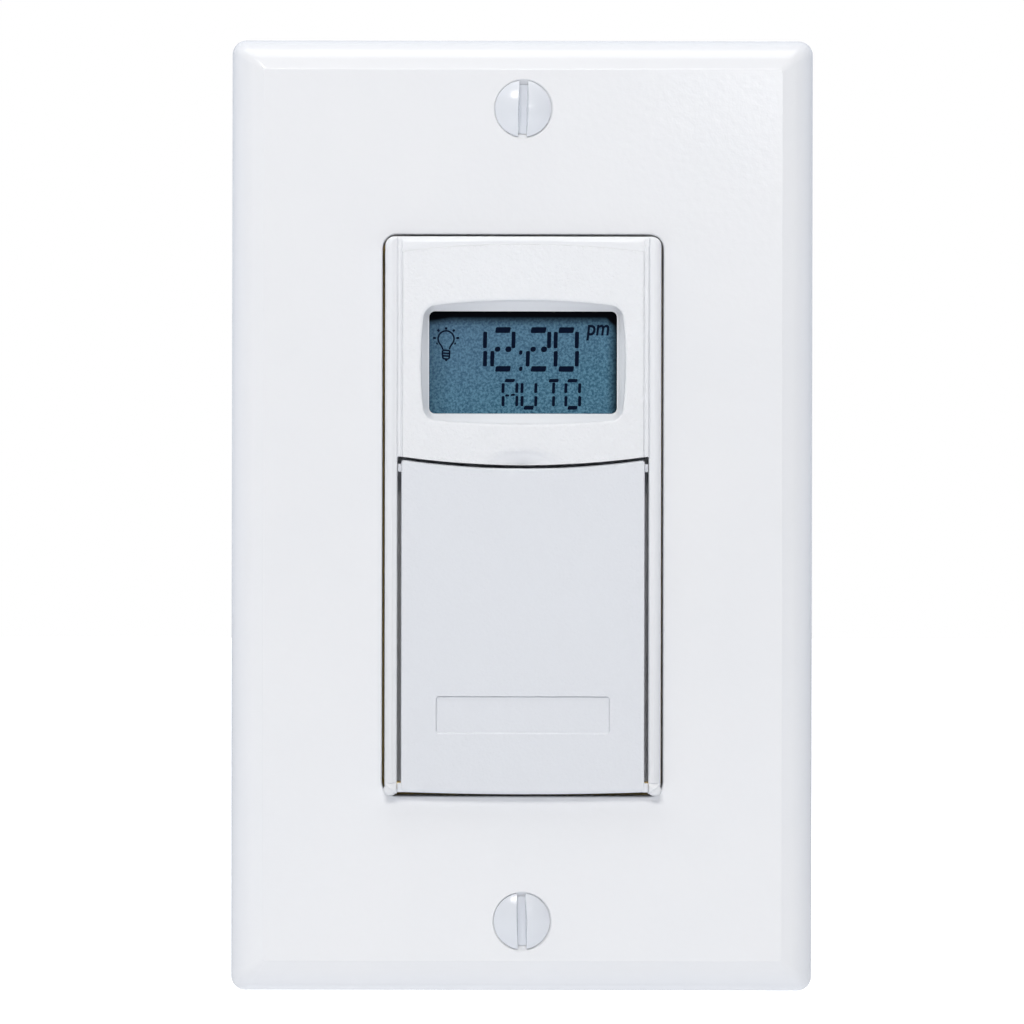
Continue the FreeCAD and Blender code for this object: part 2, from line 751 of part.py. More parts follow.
def housing_screws():
    top = -strap_thick - housing_screw_head
    thread_r = housing_screw_thread_r
    below = [
        (housing_screw_head_r, -strap_thick),
        (thread_r, -strap_thick),
        (thread_r, housing_screw_tip_y - 1.2),
        (0.25, housing_screw_tip_y),
        (0, housing_screw_tip_y),
    ]
    profile = domed_profile(housing_screw_head_r, top + 0.45, 0.45, below)
    screws = []
    for sx in (-1, 1):
        for sz in (-1, 1):
            screw = turned(profile)
            screw.translate(point(sx * housing_screw_x, 0, sz * housing_screw_z))
            screws.append(screw)
    return Part.makeCompound(screws)


def rear_housing():
    half_x = flange_half_width
    half_z = flange_half_height
    inner_x = half_x - rear_wall
    inner_z = half_z - rear_wall
    floor_y = rear_back - rear_wall
    body = slab(-half_x, half_x, flange_back, rear_back, -half_z, half_z, flange_corner_r)
    body = body.makeFillet(rear_edge_round, edges_at_y(body, rear_back))
    body = body.cut(slab(-inner_x, inner_x, flange_back - 1, floor_y, -inner_z, inner_z, 1.0))
    for sx in (-1, 1):
        for sz in (-1, 1):
            x0, x1 = sorted((sx * (housing_screw_x - tower_half[0]), sx * (half_x - 0.5)))
            z0, z1 = sorted((sz * (housing_screw_z - tower_half[1]), sz * (half_z - 0.5)))
            body = body.fuse(box(x0, x1, flange_back, tower_end_y, z0, z1))
            bore_r = housing_screw_thread_r + thread_radial
            x, z = sx * housing_screw_x, sz * housing_screw_z
            body = body.cut(rod_y(x, z, bore_r, flange_back - 1, housing_screw_tip_y + 0.6))
            x, z = sx * post_place[0], sz * post_place[1]
            body = body.fuse(rod_y(x, z, post_r, power_board_y[1], floor_y + 0.1))
            bore_r = board_screw_thread_r + thread_radial
            body = body.cut(rod_y(x, z, bore_r, power_board_y[1] - 1, power_board_y[1] + post_screw_length))
    for side, z in terminal_places:
        reach = pocket_half + pocket_wall
        x0, x1 = sorted((side * (pocket_floor_x - pocket_wall), side * (half_x - 0.5)))
        body = body.fuse(box(x0, x1, terminal_y - reach, floor_y + 0.1, z - reach, z + reach))
        x0, x1 = sorted((side * pocket_floor_x, side * (half_x + 1)))
        body = body.cut(
            box(x0, x1, terminal_y - pocket_half, terminal_y + pocket_half, z - pocket_half, z + pocket_half)
        )
        leg = terminal_leg_half + fit_radial
        x0, x1 = sorted((side * pocket_floor_x, side * (pocket_floor_x + terminal_plate_thick + fit_radial)))
        body = body.cut(box(x0, x1, terminal_y - reach - 1, terminal_y - pocket_half + 1, z - leg, z + leg))
        for dz in (-wire_hole_z, wire_hole_z):
            hole = rod_y(side * wire_hole_x, z + dz, wire_hole_r, terminal_y + pocket_half - 1, rear_back + 1)
            body = body.cut(hole)
    return body.removeSplitter()


def access_door():
    top, side_z = bezel_edge(door_front, door_gap, door_half_width)
    y = door_front
    right_low = point(door_half_width, y, door_bottom_side_z)
    left_low = point(-door_half_width, y, door_bottom_side_z)
    outline = Part.Wire([
        top,
        line(point(door_half_width, y, side_z), right_low),
        arc(right_low, point(0, y, door_bottom_centre_z), left_low),
        line(left_low, point(-door_half_width, y, side_z)),
    ])
    skin = sweep_y(outline, door_back - door_front)
    upper = []
    lower = []
    sides = []
    for edge in edges_at_y(skin, door_front):
        b = edge.BoundBox
        if b.XLength < 1:
            sides.append(edge)
        elif b.ZMin > 0:
            upper.append(edge)
        else:
            lower.append(edge)
    skin = skin.makeFillet(door_top_round, upper + sides)
    lower = [edge for edge in edges_at_y(skin, door_front) if edge.BoundBox.ZMax < -30]
    skin = skin.makeFillet(door_bottom_round, lower)

    z0, z1 = door_flange_z
    for side in (-1, 1):
        x0, x1 = sorted((side * (door_half_width - door_flange), side * door_half_width))
        skin = skin.fuse(box(x0, x1, door_back - 0.1, door_flange_back, z0, z1))
        x0, x1 = sorted((side * (door_half_width - hinge_barrel_length), side * door_half_width))
        skin = skin.fuse(rod_x(hinge_y, hinge_z, hinge_barrel_r, x0, x1))
        x0, x1 = sorted((side * (door_half_width - 0.5), side * door_lug_half_width))
        skin = skin.fuse(box(x0, x1, door_tab_y[0], door_tab_y[1], door_tab_z[0], door_tab_z[1]))
        skin = skin.fuse(
            box(x0, x1, hinge_y - 0.8, hinge_y + 0.8, door_lug_z[0], door_lug_z[1])
        )
    rib_y = on_off_key_top - press_rib_gap
    x, z = on_off_key_x, on_off_key_z
    skin = skin.fuse(
        box(x - press_rib_half[0], x + press_rib_half[0], door_back - 0.1, rib_y, z - press_rib_half[1],
            z + press_rib_half[1])
    )
    skin = skin.fuse(
        box(
            -door_half_width + 0.5, door_half_width - 0.5, door_back - 0.1, door_back + 0.5,
            z1 - 1.0, z1 - 0.2,
        )
    )
    skin = skin.cut(
        slab(
            -badge_half_width, badge_half_width, door_front - 1, door_front + badge_depth, badge_z[0],
            badge_z[1], badge_corner_r,
        )
    )
    skin = skin.cut(
        rod_x(hinge_y, hinge_z, hinge_pin_r + fit_radial, -door_half_width - 1, door_half_width + 1)
    )
    return skin.removeSplitter()


def door_hinge_pin():
    return rod_x(hinge_y, hinge_z, hinge_pin_r, -hinge_pin_half_length, hinge_pin_half_length)


def key(x, z, half_x, half_z, top):
    y0, y1 = key_flange_y
    cap = slab(x - half_x, x + half_x, top, y0 + 0.1, z - half_z, z + half_z, key_corner_r)
    cap = cap.makeChamfer(key_edge_cut, edges_at_y(cap, top))
    step = key_gap + key_flange_step
    flange = slab(
        x - half_x - step, x + half_x + step, y0, y1, z - half_z - step, z + half_z + step,
        key_corner_r + step,
    )
    return cap.fuse(flange).fuse(rod_y(x, z, key_post_r, y1 - 0.1, key_post_end_y)).removeSplitter()


def on_off_button():
    return key(on_off_key_x, on_off_key_z, on_off_key_half[0], on_off_key_half[1], on_off_key_top)


def small_button(name):
    return key(small_key_x[name], small_key_z, small_key_half[0], small_key_half[1], key_top)


def reset_button():
    y0, y1 = key_flange_y
    x, z = reset_key_x, on_off_key_z
    cap = rod_y(x, z, reset_key_r, reset_key_top, y0 + 0.1)
    cap = cap.makeChamfer(key_edge_cut, edges_at_y(cap, reset_key_top))
    flange = rod_y(x, z, reset_key_r + key_gap + key_flange_step, y0, y1)
    return cap.fuse(flange).fuse(rod_y(x, z, key_post_r, y1 - 0.1, key_post_end_y)).removeSplitter()


def switch_places():
    places = {name: (x, small_key_z) for name, x in small_key_x.items()}
    places["on_off_button"] = (on_off_key_x, on_off_key_z)
    places["reset_button"] = (reset_key_x, on_off_key_z)
    return places


def switch_bodies():
    bodies = []
    back = control_board_y[0]
    for x, z in switch_places().values():
        body = box(x - switch_half, x + switch_half, switch_front, back, z - switch_half, z + switch_half)
        bore = rod_y(x, z, plunger_r + fit_radial, switch_front - 1, switch_front + switch_bore_depth)
        bodies.append(body.cut(bore))
    return Part.makeCompound(bodies)


def plunger(name):
    x, z = switch_places()[name]
    return rod_y(x, z, plunger_r, key_post_end_y, plunger_end_y)


def lcd_front_film():
    y = lcd_film_front
    return box(
        -lcd_film_half_width, lcd_film_half_width, y, y + lcd_film_thick, lcd_film_z[0], lcd_film_z[1]
    )


def lcd_glass():
    y = lcd_film_front + lcd_film_thick
    return box(
        -lcd_glass_half_width, lcd_glass_half_width, y, y + lcd_glass_thick, lcd_glass_z[0], lcd_glass_z[1]
    )


def lcd_rear_film():
    y = lcd_film_front + lcd_film_thick + lcd_glass_thick
    return box(
        -lcd_film_half_width, lcd_film_half_width, y, y + lcd_film_thick, lcd_film_z[0], lcd_film_z[1]
    )


def light_guide():
    y = lcd_film_front + lcd_film_thick * 2 + lcd_glass_thick
    body = box(
        -lcd_film_half_width, lcd_film_half_width, y, y + light_guide_thick, lcd_film_z[0], lcd_film_z[1]
    )
    half = light_guide_leg_half_width
    z0, z1 = light_guide_leg_z
    return body.fuse(box(-half, half, y, light_guide_leg_end_y, z0, z1)).removeSplitter()


def backlight_leds():
    z0, z1 = light_guide_leg_z
    pieces = []
    for x in (-led_x, led_x):
        pieces.append(
            box(x - led_half_width, x + led_half_width, light_guide_leg_end_y, control_board_y[0], z0, z1)
        )
    return Part.makeCompound(pieces)


def lcd_holder():
    front = lcd_film_front + lcd_film_thick
    back = control_board_y[0]
    z0, z1 = holder_z
    body = box(-holder_half_width, holder_half_width, front, back, z0, z1)
    gap = holder_gap
    half = lcd_glass_half_width + gap
    body = body.cut(box(-half, half, front - 1, back + 1, lcd_glass_z[0] - gap, lcd_glass_z[1] + gap))
    shelf_y = lcd_film_front + lcd_film_thick * 2 + lcd_glass_thick + light_guide_thick
    shelf = box(
        -half - 0.5, half + 0.5, shelf_y, shelf_y + holder_shelf, lcd_glass_z[0] - 0.5, lcd_glass_z[1] + 0.5
    )
    for inner, z0, z1 in (
        (holder_shelf_half_width, holder_shelf_z[0], holder_shelf_z[1]),
        (light_guide_leg_half_width + 0.2, light_guide_leg_z[0] - 0.2, light_guide_leg_z[1] + 0.6),
        (strip_half_width + gap, strip_z[0] - gap, strip_z[1] + gap),
    ):
        shelf = shelf.cut(box(-inner, inner, shelf_y - 1, shelf_y + holder_shelf + 1, z0, z1))
    return body.fuse(shelf).removeSplitter()


def elastomer_strip():
    y = lcd_film_front + lcd_film_thick + lcd_glass_thick
    return box(-strip_half_width, strip_half_width, y, control_board_y[0], strip_z[0], strip_z[1])


def control_board():
    y0, y1 = control_board_y
    half = control_board_half_width
    body = slab(-half, half, y0, y1, control_board_z[0], control_board_z[1], 0.8)
    for x, z in board_screw_places:
        body = body.cut(rod_y(x, z, board_screw_thread_r + 0.15, y0 - 1, y1 + 1))
    return body


def small_screw(head_y, head_sign, x, z, length):
    # A pan-head screw. Its head stands on head_y and its thread runs the other way.
    head_r = board_screw_head_r
    head = board_screw_head
    below = [(head_r, 0), (board_screw_thread_r, 0), (board_screw_thread_r, length), (0, length)]
    screw = turned(domed_profile(head_r, -head + 0.4, 0.4, below))
    if head_sign > 0:
        screw.rotate(point(0, 0, 0), point(1, 0, 0), 180)
    screw.translate(point(x, head_y, z))
    return screw


def board_screws():
    board = control_board_y[1] - control_board_y[0]
    screws = []
    for x, z in board_screw_places:
        screws.append(small_screw(control_board_y[1], 1, x, z, board + board_screw_length))
    return Part.makeCompound(screws)


def microcontroller():
    y = control_board_y[1]
    half = chip_side / 2
    return slab(-half, half, y, y + chip_thick, chip_z - half, chip_z + half, 0.4)


def crystal():
    x, z = crystal_place
    y = control_board_y[1] + crystal_r
    return rod_x(y, z, crystal_r, x - crystal_half_length, x + crystal_half_length)


def connector_header():
    half = connector_half_width
    return box(-half, half, control_board_y[1], connector_split_y, connector_z[0], connector_z[1])


def connector_socket():
    half = connector_half_width + connector_socket_wall
    z0 = connector_z[0] - connector_socket_wall
    z1 = connector_z[1] + connector_socket_wall
    body = box(-half, half, connector_split_y - connector_overlap, power_board_y[0], z0, z1)
    gap = 0.05
    half = connector_half_width + gap
    return body.cut(
        box(-half, half, control_board_y[1], connector_split_y, connector_z[0] - gap, connector_z[1] + gap)
    )


def battery():
    body = rod_x(
        battery_y, battery_z, battery_r, -battery_half_length, battery_half_length - battery_button
    )
    rims = [edge for edge in body.Edges if edge.BoundBox.XLength < 1e-4]
    body = body.makeChamfer(0.4, rims)
    button = rod_x(
        battery_y, battery_z, battery_button_r, battery_half_length - battery_button - 0.1,
        battery_half_length,
    )
    return body.fuse(button).removeSplitter()


def battery_tray():
    inner = battery_r + tray_gap
    room = battery_half_length + tray_end_gap
    end = room + tray_end_wall
    z0, z1 = battery_z - tray_reach, battery_z + tray_reach
    trough = rod_x(battery_y, battery_z, tray_reach, -end, end)
    trough = trough.fuse(box(-end, end, tray_plate_back - 0.1, battery_y, z0, z1))
    hollow = rod_x(battery_y, battery_z, inner, -room, room)
    hollow = hollow.fuse(
        box(-room, room, tray_plate_back, battery_y, battery_z - inner, battery_z + inner)
    )
    trough = trough.cut(hollow)
    half = tray_end_notch_half
    back = battery_y + tray_reach + 1
    trough = trough.cut(box(-end - 1, end + 1, tray_end_notch_y, back, battery_z - half, battery_z + half))
    plate = slab(-tray_half_width, tray_half_width, deck_front, tray_plate_back, z0, z1, 0.5)
    grip = box(
        -tray_grip_half_width, tray_grip_half_width, tray_grip_front, deck_front + 0.1, tray_grip_z[0],
        tray_grip_z[1],
    )
    return trough.fuse(plate).fuse(grip).removeSplitter()


def battery_contacts():
    pieces = []
    z0, z1 = battery_z - contact_half_height, battery_z + contact_half_height
    for side in (-1, 1):
        inner = battery_half_length + contact_leaf[0]
        x0, x1 = sorted((side * inner, side * (inner + contact_leaf[1])))
        leaf = box(x0, x1, contact_front_y, power_board_y[0], z0, z1)
        x0, x1 = sorted((side * (battery_half_length + contact_bump_gap), side * (inner + 0.1)))
        pieces.append(leaf.fuse(rod_x(battery_y, battery_z, contact_bump_r, x0, x1)).removeSplitter())
    return Part.makeCompound(pieces)


def power_board():
    y0, y1 = power_board_y
    half_x, half_z = power_board_half_width, power_board_half_height
    body = box(-half_x, half_x, y0, y1, -half_z, half_z)
    notch_x = housing_screw_x - tower_half[0] - tower_room[0]
    notch_z = housing_screw_z - tower_half[1] - tower_room[1]
    for sx in (-1, 1):
        for sz in (-1, 1):
            x0, x1 = sorted((sx * notch_x, sx * (half_x + 1)))
            z0, z1 = sorted((sz * notch_z, sz * (half_z + 1)))
            body = body.cut(box(x0, x1, y0 - 1, y1 + 1, z0, z1))
            x, z = sx * post_place[0], sz * post_place[1]
            body = body.cut(rod_y(x, z, board_screw_thread_r + 0.15, y0 - 1, y1 + 1))
    return body


def power_board_screws():
    board = power_board_y[1] - power_board_y[0]
    length = board + post_screw_length - 0.4
    screws = []
    for sx in (-1, 1):
        for sz in (-1, 1):
            x, z = sx * post_place[0], sz * post_place[1]
            screws.append(small_screw(power_board_y[0], -1, x, z, length))
    return Part.makeCompound(screws)


def on_power_board(footprint, height, r):
    x0, x1, z0, z1 = footprint
    body = slab(x0, x1, power_board_y[1], power_board_y[1] + height, z0, z1, r)
    return body.makeChamfer(r * 0.5, edges_at_y(body, power_board_y[1] + height))


def relay():
    return on_power_board(relay_box, relay_height, 0.6)


def film_capacitor():
    return on_power_board(film_capacitor_box, film_capacitor_height, 0.8)


def filter_capacitor():
    x, z = filter_capacitor_place
    y = power_board_y[1]
    body = rod_y(x, z, filter_capacitor_r, y, y + filter_capacitor_height)
    return body.makeChamfer(0.4, edges_at_y(body, y + filter_capacitor_height))


def varistor():
    y = power_board_y[1] + varistor_lift + varistor_r
    body = rod_x(y, varistor_z, varistor_r, varistor_x[0], varistor_x[1])
    return body.makeChamfer(1.1, [edge for edge in body.Edges if edge.BoundBox.XLength < 1e-4])


def bridge_rectifier():
    return on_power_board(rectifier_box, rectifier_height, 0.5)


def fuse():
    return rod_z(fuse_x, power_board_y[1] + fuse_r, fuse_r, fuse_z[0], fuse_z[1])


def terminal_plates():
    pieces = []
    y0, y1 = terminal_y - terminal_plate_half[0], terminal_y + terminal_plate_half[0]
    for side, z in terminal_places:
        x0, x1 = sorted((side * pocket_floor_x, side * (pocket_floor_x + terminal_plate_thick)))
        half = terminal_plate_half[1]
        piece = box(x0, x1, y0, y1, z - half, z + half)
        half = terminal_leg_half
        piece = piece.fuse(box(x0, x1, power_board_y[1], y0 + 1, z - half, z + half))
        bore = rod_x(terminal_y, z, terminal_thread_r + thread_radial, x0 - 1, x1 + 1)
        pieces.append(piece.cut(bore).removeSplitter())
    return Part.makeCompound(pieces)


def terminal_clamps():
    pieces = []
    half = terminal_clamp_half
    for side, z in terminal_places:
        x0, x1 = sorted((side * terminal_clamp_x, side * (terminal_clamp_x + terminal_clamp_thick)))
        piece = box(x0, x1, terminal_y - half, terminal_y + half, z - half, z + half)
        pieces.append(piece.cut(rod_x(terminal_y, z, terminal_thread_r + 0.1, x0 - 1, x1 + 1)))
    return Part.makeCompound(pieces)


def terminal_screws():
    head_x = terminal_clamp_x + terminal_clamp_thick
    length = head_x - pocket_floor_x - 0.1
    below = [
        (terminal_head_r, 0),
        (terminal_thread_r, 0),
        (terminal_thread_r, length),
        (0, length),
    ]
    profile = domed_profile(terminal_head_r, -terminal_head + 0.7, 0.7, below)
    pieces = []
    for side, z in terminal_places:
        screw = turned(profile)
        screw = screw.cut(box(-0.5, 0.5, -terminal_head - 1, -terminal_head + 1.1, -5, 5))
        screw.rotate(point(0, 0, 0), point(0, 0, 1), 90 if side > 0 else -90)
        screw.translate(point(side * head_x, terminal_y, z))
        pieces.append(screw)
    return Part.makeCompound(pieces)


nodes = {
    "wall_plate": wall_plate(),
    "plate_screws": plate_screws(),
    "mounting_strap": mounting_strap(),
    "box_screws": box_screws(),
    "screw_retainers": screw_retainers(),
    "ground_screw": ground_screw(),
    "front_housing": front_housing(),
    "housing_screws": housing_screws(),
    "rear_housing": rear_housing(),
    "access_door": access_door(),
    "door_hinge_pin": door_hinge_pin(),
    "on_off_button": on_off_button(),
    "reset_button": reset_button(),
    "switch_bodies": switch_bodies(),
    "lcd_front_film": lcd_front_film(),
    "lcd_glass": lcd_glass(),
    "lcd_rear_film": lcd_rear_film(),
    "light_guide": light_guide(),
    "backlight_leds": backlight_leds(),
    "lcd_holder": lcd_holder(),
    "elastomer_strip": elastomer_strip(),
    "control_board": control_board(),
    "board_screws": board_screws(),
    "microcontroller": microcontroller(),
    "crystal": crystal(),
    "connector_header": connector_header(),
    "connector_socket": connector_socket(),
    "battery": battery(),
    "battery_tray": battery_tray(),
    "battery_contacts": battery_contacts(),
    "power_board": power_board(),
    "power_board_screws": power_board_screws(),
    "relay": relay(),
    "film_capacitor": film_capacitor(),
    "filter_capacitor": filter_capacitor(),
    "varistor": varistor(),
    "bridge_rectifier": bridge_rectifier(),
    "fuse": fuse(),
    "terminal_plates": terminal_plates(),
    "terminal_clamps": terminal_clamps(),
    "terminal_screws": terminal_screws(),
}
for name in small_key_x:
    nodes[name] = small_button(name)
for name in switch_places():
    nodes[name.replace("_button", "_plunger")] = plunger(name)

for name, shape in nodes.items():
    shape.exportStep(f"parts/{name}.step")
    print(name, len(shape.Solids), round(shape.Volume, 1), shape.isValid())
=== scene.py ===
import json
import math
import bmesh
import bpy
from mathutils import Matrix, Vector


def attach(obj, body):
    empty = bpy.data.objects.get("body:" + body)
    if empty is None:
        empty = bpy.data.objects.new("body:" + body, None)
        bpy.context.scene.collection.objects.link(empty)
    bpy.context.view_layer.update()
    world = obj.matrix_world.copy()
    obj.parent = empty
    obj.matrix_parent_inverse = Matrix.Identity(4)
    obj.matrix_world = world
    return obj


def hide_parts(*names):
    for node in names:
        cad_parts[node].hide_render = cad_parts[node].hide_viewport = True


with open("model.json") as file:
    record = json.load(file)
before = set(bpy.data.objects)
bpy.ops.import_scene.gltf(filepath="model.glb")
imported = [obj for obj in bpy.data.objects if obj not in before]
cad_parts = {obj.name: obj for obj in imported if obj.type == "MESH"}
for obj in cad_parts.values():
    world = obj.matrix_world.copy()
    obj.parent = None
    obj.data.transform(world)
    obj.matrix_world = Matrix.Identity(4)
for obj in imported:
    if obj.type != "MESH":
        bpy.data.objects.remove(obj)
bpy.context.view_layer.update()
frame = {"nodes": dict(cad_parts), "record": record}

scene = bpy.context.scene
scene.view_settings.view_transform = "Standard"

# Shapes are worked out in millimetres and made metres when a piece is finished.
# X is to the right, Y goes into the wall, Z is up.


def tone(red, green, blue):
    # a screen colour, 0 to 255, as the linear colour that a shader takes
    parts = [c / 255 for c in (red, green, blue)]
    return tuple(p / 12.92 if p <= 0.04045 else ((p + 0.055) / 1.055) ** 2.4 for p in parts) + (1.0,)


def dimmed(color, share):
    return [c * share for c in color[:3]] + [1.0]


class Wire:
    # one socket, so that shader maths can be written as sums
    def __init__(self, finish, socket):
        self.finish = finish
        self.socket = socket

    def math(self, operation, other=None, swap=False):
        values = [self] if other is None else ([other, self] if swap else [self, other])
        return self.finish.node("ShaderNodeMath", {"operation": operation}, dict(enumerate(values)))

    def __add__(self, other):
        return self.math("ADD", other)

    def __sub__(self, other):
        return self.math("SUBTRACT", other)

    def __rsub__(self, other):
        return self.math("SUBTRACT", other, True)

    def __mul__(self, other):
        return self.math("MULTIPLY", other)

    __radd__ = __add__

    def above(self, edge, soft):
        # 0 below the edge, 1 above it, with a soft step
        limits = {"From Min": edge - soft, "From Max": edge + soft}
        return self.finish.node("ShaderNodeMapRange", {"clamp": True}, {"Value": self, **limits})


class Nodes:
    # a node tree and the node at its end; what is made here comes back as a wire
    def __init__(self, tree, end):
        self.tree = tree
        self.end = tree.nodes[end]

    def node(self, kind, settings=None, sockets=None, out=0):
        made = self.tree.nodes.new(kind)
        for name, value in (settings or {}).items():
            setattr(made, name, value)
        for name, value in (sockets or {}).items():
            if isinstance(value, Wire):
                self.tree.links.new(value.socket, made.inputs[name])
            else:
                made.inputs[name].default_value = value
        return Wire(self, made.outputs[out])

    def set(self, name, value):
        if isinstance(value, Wire):
            self.tree.links.new(value.socket, self.end.inputs[name])
        else:
            self.end.inputs[name].default_value = value

    def mix(self, share, first, second):
        sockets = {0: share, 6: first, 7: second}
        return self.node("ShaderNodeMix", {"data_type": "RGBA", "blend_type": "MIX"}, sockets, out=2)


class Finish(Nodes):
    # a material: a Principled shader and what feeds it
    def __init__(self, name, color, roughness, metallic=0.0, **fixed):
        self.material = bpy.data.materials.new(name)
        self.material.use_nodes = True
        super().__init__(self.material.node_tree, "Principled BSDF")
        self.set("Base Color", color)
        self.set("Roughness", roughness)
        self.set("Metallic", metallic)
        for name, value in fixed.items():
            self.set(name.replace("_", " "), value)
        self.place = self.node("ShaderNodeTexCoord", out="Object")

    def axes(self):
        # the piece's own x, y and z in millimetres
        grown = self.node("ShaderNodeVectorMath", {"operation": "SCALE"}, {0: self.place, "Scale": 1000.0})
        split = self.node("ShaderNodeSeparateXYZ", sockets={0: grown}, out="X")
        sockets = split.socket.node.outputs
        return [Wire(self, sockets[axis]) for axis in "XYZ"]

    def noise(self, size, detail=2.0, stretch=(1, 1, 1), roughness=0.5):
        # size is the width of one blotch in millimetres
        spread = self.node("ShaderNodeMapping", sockets={"Vector": self.place, "Scale": stretch})
        sockets = {"Vector": spread, "Scale": 1000.0 / size, "Detail": detail, "Roughness": roughness}
        return self.node("ShaderNodeTexNoise", {"noise_dimensions": "3D"}, sockets, out="Fac")

    def bump(self, height, depth):
        # depth is the height of the relief in millimetres
        sockets = {"Height": height, "Distance": depth / 1000, "Strength": 1.0}
        return self.node("ShaderNodeBump", sockets=sockets, out="Normal")


print("finishes")

# the gloss has a faint peel on the plate's flat face only
plateLook = {
    "color": tone(235, 236, 240), "dim": tone(233, 235, 239), "pale": tone(237, 238, 241),
    "roughness": 0.15, "peel": 0.9, "fine": 0.28, "fineShare": 0.2, "blotch": 14.0, "peelDepth": 0.02,
    "flat": -5.57, "soft": 0.02, "gloss": 0.13, "glossVary": 0.06,
}
glossPlate = Finish("glossPlate", plateLook["color"], plateLook["roughness"])
plateY = glossPlate.axes()[1]
flatFace = 1 - plateY.above(plateLook["flat"], plateLook["soft"])
peel = glossPlate.noise(plateLook["peel"], 2.0)
blotch = glossPlate.noise(plateLook["blotch"], 2.0)
fineGrain = glossPlate.noise(plateLook["fine"], 2.0)
glossPlate.set("Base Color", glossPlate.mix(blotch, plateLook["dim"], plateLook["pale"]))
glossPlate.set("Roughness", plateLook["gloss"] + blotch * plateLook["glossVary"])
relief = (peel + fineGrain * plateLook["fineShare"]) * flatFace
glossPlate.set("Normal", glossPlate.bump(relief, plateLook["peelDepth"]))

# the bezel's panel is grained, the rails and the scoop's rim are smooth, and painted shade darkens the
# housing downwards
insertLook = {
    "color": tone(235, 237, 241), "roughness": 0.42, "paintedShadeShare": 0.5, "paintedShadeReach": 33.0, "lowShade": 0.8,
    "panelHalfWidth": 14.3, "archMiddle": 32.1, "archDrop": 0.85, "panelSoft": 0.06, "panelBack": -7.1,
    "grain": 0.34, "coarse": 3.2, "coarseShare": 0.6, "blotch": 11.0, "panelDepth": 0.11,
    "smoothDepth": 0.01, "doorBack": -6.9, "tint": 0.965, "sheen": 0.34, "panelSheen": 0.16, "vary": 0.06,
}


def satinPlastic(name, color, share=0.0):
    # share is how much grain a door or a key has; the housing has it inside its arched panel
    look = Finish(name, color, insertLook["roughness"])
    x, y, z = look.axes()
    width, soft = insertLook["panelHalfWidth"], insertLook["panelSoft"]
    arch = insertLook["archMiddle"] - x * x * (insertLook["archDrop"] / width ** 2)
    panel = (1 - x.math("ABSOLUTE").above(width, soft)) * (arch - z).above(0.0, soft)
    panel = panel * (1 - y.above(insertLook["panelBack"], 0.1))
    if share:
        panel = (1 - y.above(insertLook["doorBack"], 0.2)) * share
    grain = look.noise(insertLook["grain"], 3.0, roughness=0.6)
    coarse = look.noise(insertLook["grain"] * insertLook["coarse"], 2.0)
    blotch = look.noise(insertLook["blotch"], 2.0)
    depth = panel * insertLook["panelDepth"] + insertLook["smoothDepth"]
    mottled = look.mix(blotch * 0.5 + grain * 0.4, color, dimmed(color, insertLook["tint"]))
    if not share:
        # painted shade: the housing's colour darkens towards its bottom, as if the light fell from above
        paintedShadeDown = (1 - z.above(0.0, insertLook["paintedShadeReach"])) * insertLook["paintedShadeShare"]
        mottled = look.mix(paintedShadeDown, mottled, dimmed(color, insertLook["lowShade"]))
    look.set("Base Color", mottled)
    look.set(
        "Roughness", insertLook["sheen"] + panel * insertLook["panelSheen"] + blotch * insertLook["vary"])
    look.set("Normal", look.bump((grain + coarse * insertLook["coarseShare"]) * depth, 1.0))
    return look


satinInsert = satinPlastic("satinInsert", insertLook["color"])
satinDoor = satinPlastic("satinDoor", tone(222, 225, 231), 0.4)
satinKey = satinPlastic("satinKey", tone(205, 208, 212), 0.4)

screwPaint = Finish("screwPaint", tone(222, 226, 233), 0.18)
screwPaint.set("Normal", screwPaint.bump(screwPaint.noise(0.7, 2.0), 0.005))
screwPaint.set("Roughness", 0.14 + screwPaint.noise(1.4, 2.0) * 0.08)


def metal(name, color, roughness, stretch=(1, 1, 1), stain=0.12, metallic=1.0):
    look = Finish(name, color, roughness, metallic)
    cloud = look.noise(6.0, 4.0)
    lines = look.noise(0.5, 3.0, stretch)
    look.set("Base Color", look.mix(cloud, color, dimmed(color, 1 - stain * 2)))
    look.set("Roughness", roughness - 0.06 + cloud * 0.14 + lines * 0.08)
    look.set("Normal", look.bump(lines, 0.004))
    return look


zincStrap = metal("zincStrap", tone(196, 172, 118), 0.36, (1, 1, 0.12))
springSteel = metal("springSteel", tone(214, 213, 208), 0.24, (1, 1, 0.3))
brassTerminal = metal("brassTerminal", tone(204, 170, 98), 0.3, (0.4, 1, 1))
groundPaint = metal("groundPaint", tone(38, 132, 66), 0.34, stain=0.1, metallic=0.55)


def moulded(name, color, roughness, grain=0.3, depth=0.006, shift=0.12):
    look = Finish(name, color, roughness)
    fine = look.noise(grain, 3.0)
    cloud = look.noise(9.0, 3.0)
    look.set("Base Color", look.mix(cloud, color, dimmed(color, 1 - shift)))
    look.set("Roughness", roughness - 0.05 + cloud * 0.1)
    look.set("Normal", look.bump(fine, depth))
    return look


